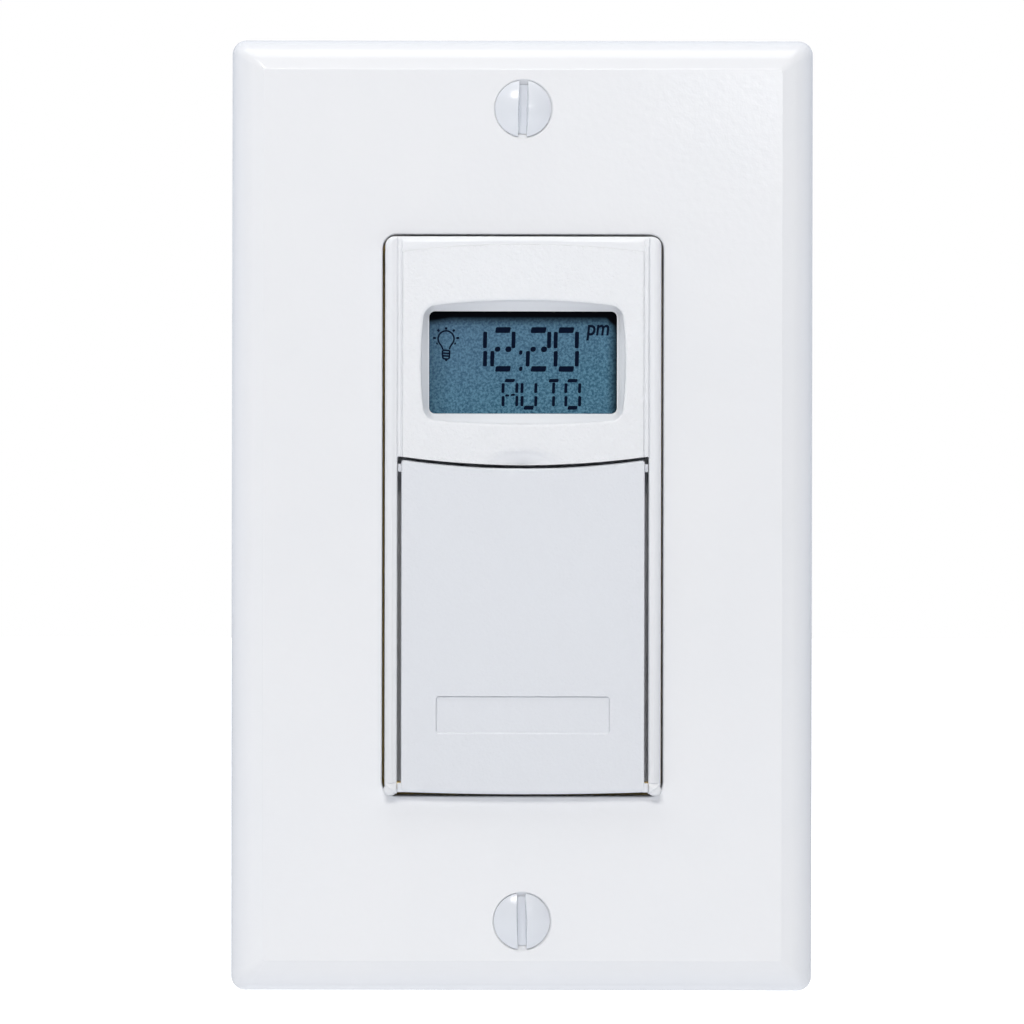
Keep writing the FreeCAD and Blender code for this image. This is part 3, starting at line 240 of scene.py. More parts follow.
darkHousing = moulded("darkHousing", tone(62, 64, 68), 0.46, 0.42, 0.012)
blackPlastic = moulded("blackPlastic", tone(30, 30, 32), 0.42)
pressedFibre = moulded("pressedFibre", tone(186, 164, 126), 0.85, 0.25, 0.02, 0.2)
rubberStrip = moulded("rubberStrip", tone(84, 82, 80), 0.7)
relayCase = moulded("relayCase", tone(44, 48, 56), 0.4)
capacitorCase = moulded("capacitorCase", tone(210, 176, 64), 0.32)
varistorCoat = moulded("varistorCoat", tone(40, 92, 150), 0.28, 1.4, 0.05)
fuseTube = moulded("fuseTube", tone(222, 216, 200), 0.4)
ledEpoxy = moulded("ledEpoxy", tone(238, 232, 200), 0.2)
clearGlass = moulded("clearGlass", tone(176, 196, 204), 0.08)
frostedGuide = moulded("frostedGuide", tone(214, 222, 228), 0.35)
canSleeve = moulded("canSleeve", tone(40, 44, 70), 0.3)

# the boards' tracks show as paler lines through the green
boardLook = {
    "color": tone(22, 92, 52), "track": tone(46, 128, 74), "upright": (1.9, 0.72, 0.06),
    "slanted": (1.7, 0.8, 0.05),
}
boardMask = moulded("boardMask", boardLook["color"], 0.35, 0.3, 0.004)
boardX, _, boardZ = boardMask.axes()
pace, *step = boardLook["upright"]
track = (boardX * pace).math("SINE").above(*step)
pace, *step = boardLook["slanted"]
track = track + (boardZ * pace + boardX).math("SINE").above(*step)
boardMask.set("Base Color", boardMask.mix(track.math("MINIMUM", 1.0), boardLook["color"], boardLook["track"]))

cellLook = {
    "sleeve": tone(46, 48, 54), "band": tone(196, 152, 84), "metal": tone(205, 204, 200),
    "bandEnds": (-12.4, -8.5), "sleeveEnd": 13.0, "soft": 0.05,
}
batterySleeve = moulded("batterySleeve", cellLook["sleeve"], 0.26, 0.8, 0.002)
cellX = batterySleeve.axes()[0]
ends = cellX.math("ABSOLUTE").above(cellLook["sleeveEnd"], cellLook["soft"])
bandStart, bandEnd = cellLook["bandEnds"]
band = (1 - cellX.above(bandEnd, cellLook["soft"])) * cellX.above(bandStart, cellLook["soft"])
sleeve = batterySleeve.mix(band, cellLook["sleeve"], cellLook["band"])
batterySleeve.set("Metallic", ends)
batterySleeve.set("Base Color", batterySleeve.mix(ends, sleeve, cellLook["metal"]))

# a speckled blue film, lilac towards its top, with painted shadow of the window's rim along its edges,
# darkest under the top;
# each shade is where it starts, how soft it is and how dark
screenLook = {
    "dark": tone(46, 84, 106), "light": tone(88, 131, 152), "lilac": tone(92, 110, 142),
    "edge": tone(0, 1, 5), "grain": 0.3, "contrast": 4.5, "drift": 9.0, "driftShare": 0.14,
    "lilacLean": 0.35, "lilacShade": (20.5, 6.5, 0.3), "top": (23.1, 0.55, 0.75),
    "under": (22.6, 1.0, 0.25), "right": (10.5, 0.55, 0.85), "left": (-9.8, 1.3, 0.32), "shine": 0.03,
}


def screenShade(axis, name, lower=False):
    edge, soft, share = screenLook[name]
    covered = axis.above(edge, soft)
    return (1 - covered if lower else covered) * share


screenFilm = Finish("screenFilm", tone(72, 111, 134), 0.4, Specular_IOR_Level=screenLook["shine"])
screenX, _, screenZ = screenFilm.axes()
speck = screenFilm.noise(screenLook["grain"], 3.0, roughness=0.7)
drift = screenFilm.noise(screenLook["drift"], 2.0)
speckled = ((speck - 0.5) * screenLook["contrast"] + 0.5).above(0.5, 0.5)
tint = screenFilm.mix(speckled, screenLook["dark"], screenLook["light"])
lilac = screenShade(screenZ - screenX * screenLook["lilacLean"], "lilacShade")
tint = screenFilm.mix(lilac + drift * screenLook["driftShare"], tint, screenLook["lilac"])
# painted shadow: the film fades to the near-black edge colour along its top and sides, where the window's rim
# would shade it
paintedTopShadow = screenShade(screenZ, "top") + screenShade(screenZ, "under")
paintedSideShadow = screenShade(screenX, "right") + screenShade(screenX, "left", lower=True)
paintedShadow = (paintedTopShadow + paintedSideShadow).math("MINIMUM", 1.0)
screenFilm.set("Base Color", screenFilm.mix(paintedShadow, tint, screenLook["edge"]))
screenFilm.set("Normal", screenFilm.bump(speck, 0.004))

screenInk = Finish("screenInk", tone(3, 12, 32), 0.5, Specular_IOR_Level=screenLook["shine"])
inkSpeck = screenInk.noise(0.2, 2.0)
screenInk.set("Base Color", screenInk.mix(inkSpeck, tone(0, 6, 24), tone(8, 22, 46)))

legendInk = Finish("legendInk", tone(70, 74, 82), 0.5)
legendInk.set("Base Color", legendInk.mix(legendInk.noise(0.4, 2.0), tone(62, 66, 74), tone(84, 88, 96)))

slotFinish = {
    "plate_plastic": glossPlate, "insert_plastic": satinInsert, "key_plastic": satinKey,
    "screw_paint": screwPaint, "zinc_steel": zincStrap, "ground_green": groundPaint,
    "fibre": pressedFibre, "rear_plastic": darkHousing, "black_plastic": blackPlastic,
    "lcd_film": screenFilm, "clear_glass": clearGlass, "clear_plastic": frostedGuide,
    "led_body": ledEpoxy, "elastomer": rubberStrip, "board_green": boardMask,
    "battery_sleeve": batterySleeve, "spring_metal": springSteel, "relay_plastic": relayCase,
    "capacitor_plastic": capacitorCase, "can_metal": canSleeve, "varistor_coat": varistorCoat,
    "fuse_glass": fuseTube, "brass": brassTerminal,
}


def outline(x0, x1, z0, z1, r, bowTop=0.0, bowBottom=0.0, bowSide=0.0, corner=8, side=12):
    # a rounded rectangle seen from the front, whose sides may swell by a bow at their middle
    corners = ((x1 - r, z0 + r, -90), (x1 - r, z1 - r, 0), (x0 + r, z1 - r, 90), (x0 + r, z0 + r, 180))
    arcs = []
    for cx, cz, start in corners:
        turn = [math.radians(start + 90 * step / corner) for step in range(corner + 1)]
        arcs.append([Vector((cx + r * math.cos(a), cz + r * math.sin(a))) for a in turn])
    points = []
    for arc, following in zip(arcs, arcs[1:] + arcs[:1]):
        points += arc
        points += [arc[-1].lerp(following[0], step / side) for step in range(1, side)]
    middleX, middleZ = (x0 + x1) / 2, (z0 + z1) / 2
    for p in points:
        u = (p.x - middleX) / (x1 - middleX)
        v = (p.y - middleZ) / (z1 - middleZ)
        p.y += bowTop * (1 - u * u) if v > 0 else -bowBottom * (1 - u * u)
        p.x += math.copysign(bowSide * (1 - v * v), u)
    return points


def stack(rings, closed=False):
    # a solid grown ring by ring from a circle of edges; each ring is (y, outline)
    bm = bmesh.new()
    spot = bm.verts.layers.int.new("spot")
    verts = bmesh.ops.create_circle(bm, segments=len(rings[0][1]), radius=1)["verts"]
    for index, vert in enumerate(verts):
        vert[spot] = index
    edges = bm.edges[:]
    firstEdges = edges[:]
    for number, (y, points) in enumerate(rings):
        if number:
            grown = bmesh.ops.extrude_edge_only(bm, edges=edges)["geom"]
            verts = [g for g in grown if isinstance(g, bmesh.types.BMVert)]
            fresh = set(verts)
            edges = [g for g in grown if isinstance(g, bmesh.types.BMEdge) and set(g.verts) <= fresh]
        for vert in verts:
            point = points[vert[spot]]
            vert.co = (point[0], y, point[1])
    if not closed:
        bmesh.ops.contextual_create(bm, geom=firstEdges)
        bmesh.ops.contextual_create(bm, geom=edges)
    bm.verts.layers.int.remove(spot)
    bmesh.ops.remove_doubles(bm, verts=bm.verts, dist=1e-5)
    bmesh.ops.recalc_face_normals(bm, faces=bm.faces)
    return bm


def turned(profile, steps=64, x=0.0, z=0.0):
    # a solid of revolution about the Y axis from (radius, y) points
    bm = bmesh.new()
    verts = [bm.verts.new((radius, y, 0)) for radius, y in profile]
    edges = [bm.edges.new(pair) for pair in zip(verts, verts[1:])]
    bmesh.ops.spin(
        bm, geom=verts + edges, cent=(0, 0, 0), axis=(0, 1, 0), angle=math.tau, steps=steps, use_merge=True)
    bmesh.ops.remove_doubles(bm, verts=bm.verts, dist=1e-4)
    bmesh.ops.recalc_face_normals(bm, faces=bm.faces)
    return place(bm, x, 0, z)


def place(bm, x=0.0, y=0.0, z=0.0, lean=0.0):
    matrix = Matrix.Translation((x, y, z)) @ Matrix.Rotation(math.radians(lean), 4, "Y")
    bmesh.ops.transform(bm, matrix=matrix, verts=bm.verts)
    return bm


def bar(x0, x1, y0, y1, z0, z1, edge=0.0):
    # a block with rounded edges
    bm = bmesh.new()
    size = Matrix.Diagonal((x1 - x0, y1 - y0, z1 - z0, 1))
    middle = Matrix.Translation(((x0 + x1) / 2, (y0 + y1) / 2, (z0 + z1) / 2))
    bmesh.ops.create_cube(bm, size=1, matrix=middle @ size)
    if edge:
        bmesh.ops.bevel(
            bm, geom=bm.edges[:], offset=edge, segments=2, profile=0.5, affect="EDGES", material=-1)
    return bm


def joined(*shapes):
    bm = bmesh.new()
    for shape in shapes:
        mesh = bpy.data.meshes.new("part")
        shape.to_mesh(mesh)
        bm.from_mesh(mesh)
        bpy.data.meshes.remove(mesh)
        shape.free()
    return bm


def loose(bm):
    mesh = bpy.data.meshes.new("tool")
    bm.to_mesh(mesh)
    bm.free()
    obj = bpy.data.objects.new("tool", mesh)
    scene.collection.objects.link(obj)
    return obj


def carve(base, tools, operation="DIFFERENCE"):
    # cuts the tools out of the base, or joins them to it
    objects = [loose(base)] + [loose(tool) for tool in tools]
    for tool in objects[1:]:
        cut = objects[0].modifiers.new("cut", "BOOLEAN")
        cut.operation = operation
        cut.solver = "EXACT"
        cut.object = tool
    seen = objects[0].evaluated_get(bpy.context.evaluated_depsgraph_get())
    mesh = bpy.data.meshes.new_from_object(seen)
    bm = bmesh.new()
    bm.from_mesh(mesh)
    bpy.data.meshes.remove(mesh)
    for obj in objects:
        used = obj.data
        bpy.data.objects.remove(obj)
        bpy.data.meshes.remove(used)
    return bm


def nodeCopy(node, keep):
    # a merged copy of a CAD node in millimetres, of what is further in than keep
    bm = bmesh.new()
    bm.from_mesh(frame["nodes"][node].data)
    bmesh.ops.scale(bm, vec=(1000, 1000, 1000), verts=bm.verts)
    bmesh.ops.remove_doubles(bm, verts=bm.verts, dist=1e-3)
    everything = bm.verts[:] + bm.edges[:] + bm.faces[:]
    bmesh.ops.bisect_plane(
        bm, geom=everything, plane_co=(0, keep, 0), plane_no=(0, -1, 0), clear_outer=True)
    bmesh.ops.dissolve_limit(
        bm, angle_limit=math.radians(0.5), verts=bm.verts[:], edges=bm.edges[:])
    return bm


def finishPiece(name, bm, body, finish, nodes=(), turnOut=True):
    # scales a shape to metres and makes it a piece, whose edges stay sharp past 32 degrees
    bmesh.ops.scale(bm, vec=(0.001, 0.001, 0.001), verts=bm.verts)
    if turnOut:
        bmesh.ops.recalc_face_normals(bm, faces=bm.faces)
    for face in bm.faces:
        face.smooth = True
    for edge in bm.edges:
        edge.smooth = edge.calc_face_angle(math.pi) < math.radians(32)
    mesh = bpy.data.meshes.new(name)
    bm.to_mesh(mesh)
    bm.free()
    mesh.materials.append(finish.material)
    obj = bpy.data.objects.new(name, mesh)
    scene.collection.objects.link(obj)
    even = obj.modifiers.new("even shading", "WEIGHTED_NORMAL")
    even.keep_sharp = True
    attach(obj, body)
    if nodes:
        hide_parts(*nodes)


def arcSteps(count, start=0.0, end=90.0):
    return [math.radians(start + (end - start) * step / count) for step in range(count + 1)]


print("wall plate")
plate = {
    "halfWidth": 34.925, "halfHeight": 57.15, "corner": 1.7, "frontCorner": 0.45,
    "front": -5.6, "edge": -1.7, "roll": 3.7, "back": -3.6, "rimWall": 1.6, "hollowStart": -0.9,
    "crease": 4.05, "creaseSteps": (0.1, 0.04, 0.0, -0.05), "creaseRound": 0.02, "creaseDip": 0.002,
    "ledge": 2.75, "ledgeTilt": 19.0, "halfTurn": 29.0, "heel": ((0.12, 0.0), (0.03, -0.04), (0.0, -0.14)),
    "innerCorner": 0.8, "openX": 16.75, "openZ": 33.5, "openCorner": 1.75, "openRound": 0.2,
    "rimWidth": 1.4, "rimBack": -2.7,
}


def plateRing(inset, y):
    r = plate["corner"] - (plate["corner"] - plate["frontCorner"]) * min(inset / plate["roll"], 1.0)
    x, z = plate["halfWidth"] - inset, plate["halfHeight"] - inset
    return y, outline(-x, x, -z, z, r)


def openRing(grow, y):
    x, z = plate["openX"] + grow, plate["openZ"] + grow
    return y, outline(-x, x, -z, z, plate["openCorner"] + grow)


def plateShell():
    # past a soft crease the front slopes over a narrow ledge and rolls into the straight edge on an arc
    ledge, crease, slope = plate["ledge"], plate["crease"], math.tan(math.radians(plate["ledgeTilt"]))
    ledgeY = plate["front"] + (crease - ledge) * slope
    drop = plate["edge"] - ledgeY
    middle = math.degrees(math.atan2(drop, ledge))
    ball = math.hypot(drop, ledge) / (2 * math.sin(math.radians(plate["halfTurn"])))
    start = math.radians(middle - plate["halfTurn"])
    rings = [plateRing(inset, y) for inset, y in plate["heel"] + ((0, plate["edge"]),)]
    for angle in reversed(arcSteps(14, middle - plate["halfTurn"], middle + plate["halfTurn"])[:-1]):
        inset = ledge - ball * (math.sin(angle) - math.sin(start))
        rings.append(plateRing(inset, ledgeY + ball * (math.cos(start) - math.cos(angle))))
    for away in plate["creaseSteps"]:
        y = plate["front"] + max(away - plate["creaseRound"], 0.0) * slope
        rings.append(plateRing(crease - away, y + plate["creaseDip"] * (away == 0.0)))
    for angle in arcSteps(4):
        grow = plate["openRound"] * (1 - math.sin(angle))
        rings.append(openRing(grow, plate["front"] + plate["openRound"] * (1 - math.cos(angle))))
    rings.append(openRing(0, plate["rimBack"]))
    rings.append(openRing(plate["rimWidth"], plate["rimBack"]))
    rings.append(openRing(plate["rimWidth"], plate["back"]))
    wall = plate["rimWall"]
    for inset, y in ((plate["roll"], plate["back"]), (wall, plate["hollowStart"]), (wall, 0.0)):
        x, z = plate["halfWidth"] - inset, plate["halfHeight"] - inset
        rings.append((y, outline(-x, x, -z, z, plate["innerCorner"])))
    rings.append(rings[0])
    return stack(rings, closed=True)


# the height of each plate screw, and how far its slot leans from upright in degrees
screwPlaces = ((48.42, 1.5), (-48.42, -1.0))
sink = {"rim": 3.48, "lip": 0.16, "hole": 2.0, "deep": -3.86, "start": -7.0, "end": -1.0}
sinkProfile = (
    (0, sink["start"]), (sink["rim"] + sink["lip"], sink["start"]), (sink["rim"] + sink["lip"], -5.62),
    (sink["rim"] + 0.05, -5.56), (sink["rim"], -5.48), (sink["hole"], sink["deep"]),
    (sink["hole"], sink["end"]), (0, sink["end"]),
)
boss = {"radius": 4.6, "front": -4.0, "back": -3.1, "edge": 0.1}
rib = {"inner": 4.0, "outer": 32.1, "front": -4.0, "back": -2.7, "half": 0.45}
bossProfile = (
    (0, boss["front"]), (boss["radius"], boss["front"]), (boss["radius"], boss["back"] - boss["edge"]),
    (boss["radius"] - boss["edge"], boss["back"]), (0, boss["back"]),
)
backs = []
for z, _ in screwPlaces:
    backs.append(turned(bossProfile, 48, 0, z))
    for side in (-1, 1):
        x0, x1 = sorted((side * rib["inner"], side * rib["outer"]))
        backs.append(bar(x0, x1, rib["front"], rib["back"], z - rib["half"], z + rib["half"]))
shell = carve(plateShell(), backs, "UNION")
shell = carve(shell, [turned(sinkProfile, 64, 0, z) for z, _ in screwPlaces])
finishPiece("wallPlate", shell, "timer", glossPlate, ["wall_plate"])

head = {
    "rim": 3.35, "top": -6.4, "dome": 0.85, "cone": 1.85, "slot": 1.13, "slotDepth": 1.4, "draft": 0.09,
    "off": 0.035, "thread": 1.75, "core": 1.4, "threadDepth": 0.36, "pitch": 0.8, "threadStart": -3.4,
    "threadEnd": 7.6, "shankEnd": 7.4, "tip": 8.1, "tipRadius": 0.95,
}


def domeProfile(rim, top, dome, steps=10):
    # the points of a domed head, from its top to its rim
    ball = (rim ** 2 + dome ** 2) / (2 * dome)
    half = math.asin(rim / ball)
    angles = [half * step / steps for step in range(steps + 1)]
    return [(ball * math.sin(a), top + ball * (1 - math.cos(a))) for a in angles]


def helix(outer, inner, pitch, start, end, steps=24):
    # a screw thread: a short V that is spun and moved along
    bm = bmesh.new()
    turns = int((end - start) / pitch)
    crest = pitch * 0.1
    spots = ((inner, 0), (outer, pitch * 0.5 - crest), (outer, pitch * 0.5 + crest), (inner, pitch))
    verts = [bm.verts.new((r, start + y, 0)) for r, y in spots]
    edges = [bm.edges.new(pair) for pair in zip(verts, verts[1:])]
    bmesh.ops.spin(
        bm, geom=verts + edges, cent=(0, 0, 0), axis=(0, 1, 0), dvec=(0, pitch / steps, 0),
        angle=math.tau * (turns - 1), steps=steps * (turns - 1), use_merge=False)
    bmesh.ops.remove_doubles(bm, verts=bm.verts, dist=1e-3)
    bmesh.ops.recalc_face_normals(bm, faces=bm.faces)
    return bm


rim = head["top"] + head["dome"]
headProfile = domeProfile(head["rim"] - 0.07, head["top"], head["dome"] - 0.05)
headProfile += [
    (head["rim"] - 0.02, rim - 0.02), (head["rim"], rim + 0.05), (head["rim"] - 0.03, rim + 0.12),
    (head["thread"], rim + head["cone"]), (head["core"], rim + head["cone"] + 0.1),
    (head["core"], head["shankEnd"]), (head["tipRadius"], head["tip"]), (0, head["tip"]),
]
half = head["slot"] / 2
slotFloor = head["top"] + head["slotDepth"]
slotLevels = ((0.0, -head["draft"]), (0.9, -0.02), (1.1, 0.01), (1.2, 0.05), (2.0, 0.09))
screws = []
for z, lean in screwPlaces:
    slotTool = stack([(slotFloor - up, outline(-half - g, half + g, -5, 5, 0.05)) for up, g in slotLevels])
    solid = carve(turned(headProfile, 96), [slotTool])
    thread = helix(
        head["thread"], head["thread"] - head["threadDepth"], head["pitch"], head["threadStart"],
        head["threadEnd"])
    screws.append(place(joined(solid, thread), -head["off"], 0, z + head["off"], lean))
finishPiece("plateScrews", joined(*screws), "timer", screwPaint, ["plate_screws"])


print("front housing")
insert = {
    "halfWidth": 16.4, "halfHeight": 33.1, "corner": 1.12, "front": -7.4, "round": 0.8, "roundSide": 1.0,
    "skinBack": -5.7, "railInner": 14.94, "edgeSide": 6.97, "edgeBow": -1.04, "lip": 0.16,
}
past = insert["skinBack"] + 0.6  # where the cuts through the skin end
below = -40.0  # where the cuts that run out at the bottom start
window = {"halfWidth": 11.18, "z0": 12.09, "z1": 24.27, "corner": 0.7, "lip": 0.12}
dish = {
    "cornerX": 11.68, "bowX": 0.46, "z0": 11.36, "z1": 24.7, "bowTop": 0.78, "bowBottom": 0.6, "corner": 1.2,
    "depth": 1.42, "lip": 0.35,
}
panel = {"halfWidth": 14.2, "level": -7.31, "top": 31.2, "bow": 0.85, "lip": 0.75, "corner": 0.5}
bead = {
    "middle": 14.68, "half": 0.18, "height": 0.09, "foot": -7.28, "grooves": (14.42, 14.94),
    "grooveHalf": 0.1, "grooveDeep": -7.2, "outerDeep": -7.04, "railDeep": -7.22, "shoulder": 0.55,
    "bend": 1.6, "from": 14.0, "end": 31.9, "fadeOut": ((-0.25, 1.0), (-0.08, 0.6), (0.0, -0.3), (2.1, -0.3)),
}
scoop = {"halfWidth": 4.9, "height": 2.0, "depth": 1.1, "z": 5.93, "front": -9.0}
# the foot of a rail: a short face that leans back at its top, and a rounded block under it
railFace = {
    "near": 14.9, "far": 17.0, "low": -33.4, "bottom": -32.6, "top": -31.84, "end": -31.74, "lean": 0.28,
}
foot = {
    "near": 14.97, "far": 16.52, "z0": -33.32, "z1": -32.1, "corner": 0.56,
    "levels": ((insert["skinBack"], 0.0), (-6.6, 0.0), (-6.95, 0.06), (-7.12, 0.18), (-7.2, 0.36)),
}


def insertBlock():
    x, z, r = insert["halfWidth"], insert["halfHeight"], insert["corner"]
    rings = [(insert["skinBack"], outline(-x, x, -z, z, r))]
    for angle in arcSteps(9):
        inset, insetSide = (insert[k] * (1 - math.cos(angle)) for k in ("round", "roundSide"))
        y = insert["front"] + insert["round"] * (1 - math.sin(angle))
        corner = max(r - inset, 0.3)
        rings.append((y, outline(-x + insetSide, x - insetSide, -z + inset, z - inset, corner)))
    return stack(rings)


def doorRecess():
    x, z1, y, lip = insert["railInner"], insert["edgeSide"], insert["front"], insert["lip"]
    rings = [(y - 0.5, lip * 1.02)]
    for angle in arcSteps(4):
        rings.append((y + lip * (1 - math.cos(angle)), lip * (1 - math.sin(angle))))
    rings.append((past, 0.0))
    return stack([
        (depth, outline(-x - g * 0.3, x + g * 0.3, below, z1 + g, 0.25 + g, bowTop=insert["edgeBow"]))
        for depth, g in rings])


def panelRecess():
    # the panel's arched top sinks in over a soft lip
    y, deep, lip = insert["front"], panel["level"] - insert["front"], panel["lip"]
    levels = [(y - 0.4, lip)]
    for down, out in ((0.0, 1.0), (0.2, 0.65), (0.8, 0.2), (1.0, -0.15)):
        levels.append((y + deep * down, lip * out))
    x = panel["halfWidth"]
    return stack([
        (depth, outline(-x, x, below, panel["top"] + g, panel["corner"] + g, bowTop=panel["bow"]))
        for depth, g in levels])


def lengthwise(rings):
    # a stack that grows upwards instead of into the wall
    bm = stack(rings)
    for vert in bm.verts:
        vert.co.y, vert.co.z = vert.co.z, vert.co.y
    bmesh.ops.recalc_face_normals(bm, faces=bm.faces)
    return bm


def beadTool(side):
    # what is cut away in front of the bead, its two grooves and the inner edge of the rail
    level, front = panel["level"], insert["front"]
    inner, outer = bead["grooves"]
    half, deep = bead["grooveHalf"], bead["grooveDeep"]
    rings = []
    for z, tall in [(below, 1.0)] + [(bead["end"] + up, tall) for up, tall in bead["fadeOut"]]:
        spots = [(bead["from"], level), (inner - half, level), (inner - half * 0.45, level + 0.03),
                 (inner, deep), (inner + half * 0.5, bead["foot"] + 0.03)]
        for angle in arcSteps(8, 180, 0):
            lift = bead["height"] * math.sin(angle) * tall
            spots.append((bead["middle"] + bead["half"] * math.cos(angle), bead["foot"] - lift))
        spots += [(outer - half * 0.5, bead["foot"] + 0.05), (outer, bead["outerDeep"]),
                  (outer + half * 0.5, bead["outerDeep"] + 0.01)]
        for angle in arcSteps(7):  # the rounded shoulder of the rail
            x = outer + half + bead["shoulder"] * math.sin(angle) ** bead["bend"]
            spots.append((x, front - 0.002 + (bead["railDeep"] - front) * math.cos(angle) ** bead["bend"]))
        spots += [(spots[-1][0], front - 1), (bead["from"], front - 1)]
        rings.append((z, [(side * x, y) for x, y in spots]))
    return lengthwise(rings)


def railEnd(side):
    near, far, front = side * railFace["near"], side * railFace["far"], insert["front"]
    lean, top = railFace["lean"], railFace["top"]
    heights = (
        (railFace["low"], -0.05), (railFace["bottom"], 0.0), (top, lean), (top + 0.06, lean - 0.02),
        (railFace["end"], -0.05),
    )
    return lengthwise([
        (z, [(near, front + back), (far, front + back), (far, front - 1), (near, front - 1)])
        for z, back in heights])


def dishTool():
    y, lip = panel["level"], dish["lip"]
    start = lip * 0.42
    rings = [(y - 0.5, lip, 0.0)]
    for t in (0.0, 0.2, 0.4, 0.6, 0.8, 1.0):  # the soft rim
        rings.append((y + start * t * t - 0.0008 * (t == 0), lip * (1 - t), 0.0))
    for share in (0.25, 0.5, 0.75, 1.0):
        rings.append((y + start + (dish["depth"] - start) * share, 0.0, share))
    shapes = []
    for depth, grow, share in rings:
        x = dish["cornerX"] + grow + (window["halfWidth"] + window["lip"] - dish["cornerX"]) * share
        z0 = dish["z0"] - grow + (window["z0"] - window["lip"] - dish["z0"]) * share
        z1 = dish["z1"] + grow + (window["z1"] + window["lip"] - dish["z1"]) * share
        corner = dish["corner"] + grow * 0.6 - 0.4 * share
        bows = [dish[k] * (1 - share) for k in ("bowTop", "bowBottom", "bowX")]
        shapes.append((depth, outline(-x, x, z0, z1, corner, *bows)))
    return stack(shapes)


def windowTool():
    y, lip = panel["level"] + dish["depth"], window["lip"]
    rings = ((y - 0.4, lip), (y - 0.02, lip), (y + lip * 0.3, lip * 0.3), (y + lip, 0.0), (past, 0.0))
    x, z0, z1, r = window["halfWidth"], window["z0"], window["z1"], window["corner"]
    return stack([(depth, outline(-x - g, x + g, z0 - g, z1 + g, r + g)) for depth, g in rings])


def scoopTool():
    # an even slope down to the door's edge, with a soft rim
    y, deep = panel["level"], scoop["depth"]
    profile = (
        (0, scoop["front"]), (1.1, scoop["front"]), (1.1, y - 0.001), (1.03, y + 0.008), (0.97, y + 0.03),
        (0.9, y + 0.075), (0.8, y + 0.155), (0.5, y + 0.4 * deep + 0.07), (0.25, y + 0.72 * deep),
        (0.1, y + 0.92 * deep), (0, y + deep),
    )
    bm = turned(profile, 96)
    bmesh.ops.scale(bm, vec=(scoop["halfWidth"], 1, scoop["height"]), verts=bm.verts)
    bmesh.ops.translate(bm, vec=(0, 0, scoop["z"]), verts=bm.verts)
    return bm


skin = carve(insertBlock(), [panelRecess()])
skin = carve(skin, [beadTool(-1), beadTool(1)])
skin = carve(skin, [doorRecess()])
skin = carve(skin, [dishTool(), windowTool(), scoopTool(), railEnd(-1), railEnd(1)])
feet = []
for side in (-1, 1):
    x0, x1 = sorted((side * foot["near"], side * foot["far"]))
    feet.append(stack([
        (y, outline(x0 + g, x1 - g, foot["z0"] + g, foot["z1"], foot["corner"] - g / 2))
        for y, g in foot["levels"]]))
housing = joined(skin, nodeCopy("front_housing", insert["skinBack"]), *feet)
finishPiece("frontHousing", housing, "timer", satinInsert, ["front_housing"])


print("door")
door = {
    "halfWidth": 14.46, "front": -7.2, "back": -5.8, "topSide": 6.57, "topBow": -1.04, "bottomSide": -32.9,
    "bottomBow": 0.25, "corner": 0.35, "sideRound": 0.14, "topRound": 0.3, "bottomRound": 0.45, "depth": 0.4,
}
# a bare shallow recess with a sloped foot, and a fine line along its top and sides
badge = {
    "halfWidth": 10.3, "z0": -25.98, "z1": -21.53, "corner": 0.4, "depth": 0.17, "line": 0.3, "thin": 0.09,
    "slope": 0.14, "lip": 0.04,
}
# the small tabs at the door's top and bottom: front, back, foot and head
catch = {
    "inner": 14.2, "outer": 14.88, "edge": 0.06,
    "tabs": ((-6.6, -5.2, 5.13, 6.07), (-7.1, -5.3, -32.9, -31.82)),
}


def doorSkin():
    x, z0, z1 = door["halfWidth"], door["bottomSide"], door["topSide"]
    rings = [(door["back"], outline(-x, x, z0, z1, door["corner"], door["topBow"], door["bottomBow"]))]
    for angle in arcSteps(6):
        drawn = 1 - math.cos(angle)
        side, top, bottom = (door[k] * drawn for k in ("sideRound", "topRound", "bottomRound"))
        rings.append((door["front"] + door["depth"] * (1 - math.sin(angle)), outline(
            -x + side, x - side, z0 + bottom, z1 - top, door["corner"], door["topBow"], door["bottomBow"])))
    return stack(rings)


def badgeTool():
    y, lip = door["front"], badge["lip"]
    x, z0, z1, thin, r = (badge[k] for k in ("halfWidth", "z0", "z1", "thin", "corner"))
    sloped = z0 + badge["slope"]
    levels = ((y - 0.4, lip, z0), (y - 0.001, lip, z0), (y + lip * 0.4, lip * 0.3, z0), (y + lip, 0.0, z0),
              (y + badge["depth"], -0.02, sloped))
    recess = stack([(depth, outline(-x - g, x + g, low - g, z1 + g, r + g)) for depth, g, low in levels])
    trench = stack([(depth, outline(-x, x, sloped, z1, r)) for depth in (y, y + badge["line"])])
    middle = bar(-x + thin, x - thin, y - 1, y + 1, z0 - 1, z1 - thin)
    return [recess, carve(trench, [middle])]


front = carve(doorSkin(), badgeTool())
catches = []
for side in (-1, 1):
    x0, x1 = sorted((side * catch["inner"], side * catch["outer"]))
    catches += [bar(x0, x1, *tab, catch["edge"]) for tab in catch["tabs"]]
behind = nodeCopy("access_door", door["back"] + 0.01)  # its own back face ends the skin
leaf = joined(front, behind, *catches)
finishPiece("accessDoor", leaf, "door", satinDoor, ["access_door"])


print("keys")
# all keys share a round stem, a flange behind the housing, a rounded edge and a dished top
capShape = {
    "stem": 1.5, "stemEnd": -0.6, "flange": 0.6, "flangeBack": -0.9, "flangeFront": -1.5, "straight": 0.5,
    "round": 0.32, "dips": (0.22, 0.34, 0.46),
}


